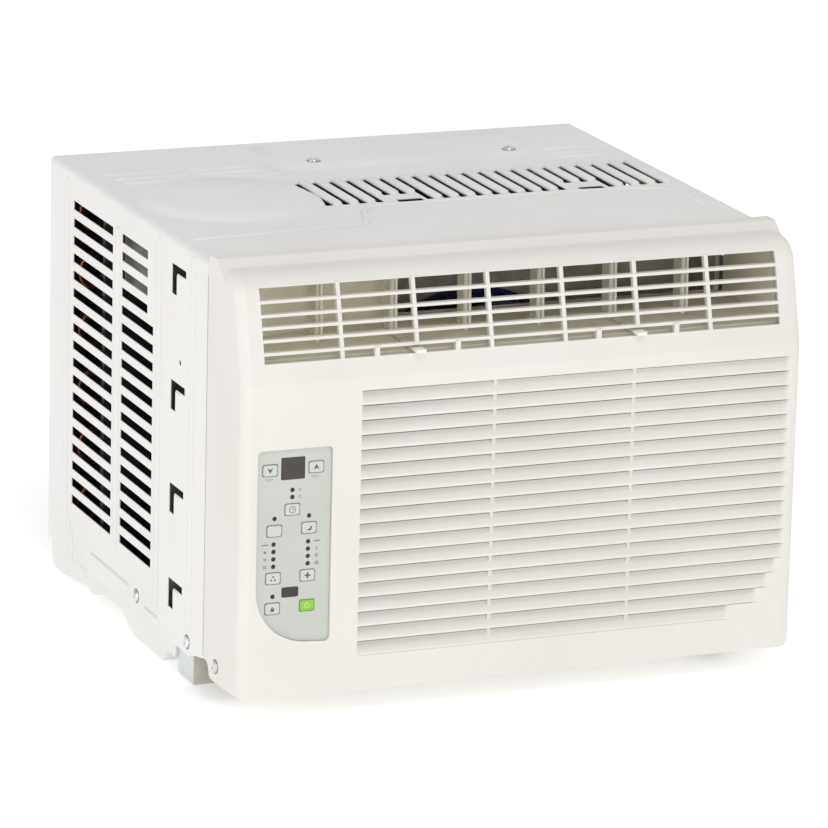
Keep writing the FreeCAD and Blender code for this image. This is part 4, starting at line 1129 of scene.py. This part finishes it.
    def outlines(self) -> None:
        """A thin printed line round each key, in the gap between key and film."""
        wide, tall = self.key_size
        outer = [spot[:2] for spot in oblong((0, 0), (wide + 1.5, tall + 1.5), 1.6, lambda a, b: (a, b, 0))]
        inner = [spot[:2] for spot in oblong((0, 0), (wide + 0.1, tall + 0.1), 1.75, lambda a, b: (a, b, 0))]
        count = len(outer)
        line = [[outer[i], outer[(i + 1) % count], inner[(i + 1) % count], inner[i]] for i in range(count)]
        for name, green in (("key_outlines", False), ("power_key_outline", True)):
            rings = [self.stamp(f"{name}_{key}", line, x, z, self.film)
                     for key, x, z, icon in self.keys if (icon is Icon.POWER) is green]
            dress(join(name, rings), INK_OLIVE if green else INK_GREY, "overlay_film")

    @staticmethod
    def bar(x: float, z: float, wide: float, tall: float) -> List[Tuple[float, float]]:
        """Trace a small upright rectangle.

        Args:
            x: Its middle, across.
            z: Its middle, upwards.
            wide: Its width.
            tall: Its height.

        Returns:
            The outline.
        """
        return [(x - wide / 2, z - tall / 2), (x + wide / 2, z - tall / 2), (x + wide / 2, z + tall / 2),
                (x - wide / 2, z + tall / 2)]

    def film_print(self) -> None:
        """Small generic signs beside the lamps."""
        bar = self.bar
        shapes = [bar(-214.0, 143.3, 5.0, 0.9), bar(-171.6, 143.5, 5.0, 0.9),
                  disc(1.1, (-214.0, 137.4)), bar(-214.0, 132.1, 3.2, 0.6), bar(-214.0, 130.9, 2.2, 0.6)]
        shapes += [disc(0.6, (-214.0 + 1.0 * math.cos(turn), 125.6 + 1.0 * math.sin(turn)), 8)
                   for turn in (math.radians(45 + 90 * step) for step in range(4))]
        shapes += [bar(-171.8, 137.6, 0.7, 2.6), bar(-172.3, 131.8, 0.7, 2.6), bar(-171.2, 131.8, 0.7, 3.2),
                   bar(-173.0, 125.9, 0.7, 2.0), bar(-171.8, 125.9, 0.7, 2.8), bar(-170.6, 125.9, 0.7, 3.6)]
        shapes += self.ring(1.1, 0.8, middle=(-186.4, 185.3), steps=12)
        shapes += [bar(-186.4, 180.6, 2.0, 0.5), bar(-186.4, 179.2, 2.0, 0.5)]
        for x in (-211.0, -173.3):
            shapes += self.ring(0.9, 0.65, middle=(x - 2.6, 195.0), steps=10)
            shapes += [bar(x - 0.4, 195.0, 0.4, 2.2)]
            shapes += self.ring(0.9, 0.65, middle=(x + 1.6, 195.0), steps=10)
        dress(self.stamp("film_signs", shapes, 0, 0, self.film), INK_GREY, "overlay_film")

    def windows(self) -> None:
        """Overlay, display and receiver windows with eased edges."""
        eased_copy("control_overlay", "control_film", 0.12)
        for node, name, centre, size, radius in (
                ("display_window", "digit_window", (-192.2, 202.7), (19.6, 17.8), 0.9),
                ("receiver_window", "receiver_lens", (-193.0, 104.2), (13.9, 8.3), 1.9)):
            outline = oblong(centre, size, radius, lambda x, z: (x, self.film + 2.0, z))
            lens = slab(name, outline, (0, -2.15, 0))
            ease(lens, 0.2)
            dress(lens, finish_of(node), slot_of(node), stands_for=[node])
        eased_copy("indicator_lamps", "status_lamps", 0.15)

    def build(self) -> None:
        """Build the control field."""
        self.windows()
        for key in self.keys:
            self.key(*key)
        self.outlines()
        self.film_print()


# ---------------------------------------------------------------- inside

@dataclass
class FinPack:
    """A block of thin foil fins on a coil."""

    node: str
    name: str
    pitch: float = 1.9
    thick: float = 0.28
    ripple: float = 0.35
    rows: int = 6

    def build(self) -> None:
        """Fill the coil's box with fins, each a thin rippled sheet."""
        low, high = (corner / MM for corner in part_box(self.node))
        shape = []
        for row in range(self.rows + 1):
            shape.append((self.ripple * (row % 2), low.y + (high.y - low.y) * row / self.rows))
        outline = [(low.x + x, y, low.z) for x, y in shape] \
            + [(low.x + x + self.thick, y, low.z) for x, y in reversed(shape)]
        first = slab(f"{self.name}_0", outline, (0, 0, high.z - low.z))
        count = int((high.x - low.x - self.thick - self.ripple) / self.pitch)
        fins = [first] + [again(first, (self.pitch * step, 0, 0)) for step in range(1, count + 1)]
        dress(join(self.name, fins), FOIL, "fin_aluminium", stands_for=[self.node])


@dataclass
class Works:
    """What shows through the slots: coils, fans, motor and housings."""

    eased: Tuple[Tuple[str, str, float], ...] = (
        ("discharge_duct", "outlet_duct", 0.8), ("scroll_housing", "fan_scroll", 1.0),
        ("bulkhead", "middle_wall", 0.2), ("condenser_shroud", "rear_shroud", 0.8),
        ("control_box", "switch_box", 0.6), ("control_board", "key_board", 0.2),
        ("board_parts", "board_blocks", 0.8), ("drain_tray", "drip_tray", 0.6),
        ("motor_bracket", "motor_stand", 0.3), ("filter_frame", "filter_surround", 0.5),
        ("sill_bracket_left", "sill_angle_left", 0.3), ("sill_bracket_right", "sill_angle_right", 0.3),
        ("blower_wheel", "blower_rotor", 0.3))

    def build(self) -> None:
        """Ease what is seen close to an edge and fill the coils with fins."""
        for node, name, width in self.eased:
            piece = eased_copy(node, name, width)
            # The sill angles' faces that point forward and back turn beige: painted warm shade, chosen by
            # which way each face points.
            if node.startswith("sill_bracket"):
                piece.data.materials.append(SILL_FACE_SHADE.make())
                for face in piece.data.polygons:
                    if abs(face.normal.y) > 0.5:
                        face.material_index = 1
        for side in ("condenser", "evaporator"):
            FinPack(f"{side}_fins", f"{side}_fin_pack").build()
        self.coil_end_shade()
        self.lagging()

    def coil_end_shade(self) -> None:
        """End plates of the rear coil and the foam that seals it to the casing, in black as painted shade of
        the coil's ends.
        """
        blocks = {"coil_cheek_shade_left": ((-205.6, 189.5, 34), (-204.2, 222.5, 338)),
                  "coil_cheek_shade_right": ((209.2, 189.5, 34), (210.6, 222.5, 338)),
                  "coil_seal_left": ((-233.6, 223.5, 44), (-203.5, 228.6, 338)),
                  "coil_seal_right": ((208.5, 223.5, 44), (233.6, 228.6, 338)),
                  "coil_seal_top": ((-203.4, 200, 338.5), (208.4, 228.6, 348))}
        for name, (low, high) in blocks.items():
            outline = [(low[0], low[1], low[2]), (high[0], low[1], low[2]), (high[0], high[1], low[2]),
                       (low[0], high[1], low[2])]
            block = slab(name, outline, (0, 0, high[2] - low[2]))
            ease(block, 0.3)
            # The black here is painted shade: it darkens the coil's ends and the corners behind the rear
            # slots.
            dress(block, BLACK_SHROUD_AND_SHADE, "shroud_plastic")

    def lagging(self) -> None:
        """A felt sleeve round the pipes behind the upper louvres of the left side."""
        turns = [math.radians(15 * step) for step in range(24)]
        sleeve = slab("pipe_lagging", [(-204 + 22 * math.cos(turn), 62 + 30 * math.sin(turn), 270)
                                       for turn in turns], (0, 0, 68))
        ease(sleeve, 9, 4)
        dress(sleeve, FELT_AND_SEAM_SHADE, "shroud_plastic")


def dress_frame() -> None:
    """Give every CAD node that still shows the finish of its slot."""
    for name, node in frame["nodes"].items():
        if node.hide_render:
            continue
        finish = finish_of(name).make()
        for slot in node.material_slots:
            slot.material = finish


# ---------------------------------------------------------------- studio

@dataclass
class Studio:
    """Floor, light and camera."""

    place: Point = (-1.64273, -3.97905, 1.34535)
    right: Point = (0.92655, -0.37538, 0.02433)
    down: Point = (-0.07714, -0.25291, -0.96441)
    ahead: Point = (0.36817, 0.89170, -0.26329)
    lens: float = 238.63
    sensor: float = 36.0
    sky: float = 0.72
    floor_glow: float = 0.33
    lamps: Tuple[Tuple[str, Point, Point, float, float], ...] = (
        ("side_box", (-3.0, -0.4, 1.0), (0, 0, 0.18), 1.6, 10.0),
        ("front_box", (-0.3, -2.1, 2.9), (0, -0.2, 0.25), 1.4, 17.5),
        ("grille_box", (-0.7, -3.0, 0.7), (0, -0.2, 0.3), 0.9, 12.0))

    def camera(self) -> None:
        """The camera, set by its place and its three directions."""
        data = bpy.data.cameras.new("view")
        data.lens = self.lens
        data.sensor_width = self.sensor
        data.clip_start, data.clip_end = 0.05, 60.0
        camera = bpy.data.objects.new("view", data)
        bpy.context.scene.collection.objects.link(camera)
        upward, backward = (-Vector(way) for way in (self.down, self.ahead))
        columns = Matrix((self.right, upward, backward)).transposed()
        camera.matrix_world = Matrix.Translation(self.place) @ columns.to_4x4()
        bpy.context.scene.camera = camera

    def floor(self) -> None:
        """A wide pale floor."""
        put_down()
        bpy.ops.mesh.primitive_grid_add(x_subdivisions=8, y_subdivisions=8, size=16, location=(0, 0, -0.0005))
        floor = bpy.context.object
        floor.name = "floor"
        material = bpy.data.materials.new("studio_floor")
        material.use_nodes = True
        skin = material.node_tree.nodes["Principled BSDF"]
        skin.inputs["Base Color"].default_value = linear("#F7F7F6")
        skin.inputs["Roughness"].default_value = 0.9
        skin.inputs["Emission Color"].default_value = (1, 1, 1, 1)
        skin.inputs["Emission Strength"].default_value = self.floor_glow
        floor.data.materials.append(material)

    def lamp(self, name: str, place: Point, aim: Point, size: float, power: float) -> None:
        """A soft box.

        Args:
            name: Its name.
            place: Where it stands, in metres.
            aim: What it points at.
            size: The side of its square.
            power: Watts.
        """
        data = bpy.data.lights.new(name, "AREA")
        data.shape = "SQUARE"
        data.size = size
        data.energy = power
        light = bpy.data.objects.new(name, data)
        bpy.context.scene.collection.objects.link(light)
        ahead = Vector(aim) - Vector(place)
        light.matrix_world = Matrix.Translation(place) @ ahead.to_track_quat("-Z", "Y").to_matrix().to_4x4()

    def build(self) -> None:
        """Set the room up."""
        world = bpy.data.worlds.new("room")
        world.use_nodes = True
        world.node_tree.nodes["Background"].inputs["Color"].default_value = (1, 1, 1, 1)
        world.node_tree.nodes["Background"].inputs["Strength"].default_value = self.sky
        bpy.context.scene.world = world
        bpy.context.scene.view_settings.view_transform = "Standard"
        self.camera()
        self.floor()
        for soft_box in self.lamps:
            self.lamp(*soft_box)


def main() -> None:
    """Build the whole unit, part by part."""
    logging.basicConfig(level=logging.INFO, format="%(message)s")
    for part in (Studio(), Casing(), Front(), Controls(), Works()):
        part.build()
        LOG.info("built %s", type(part).__name__)
    dress_frame()
    put_down()


if __name__ == "__main__":
    main()
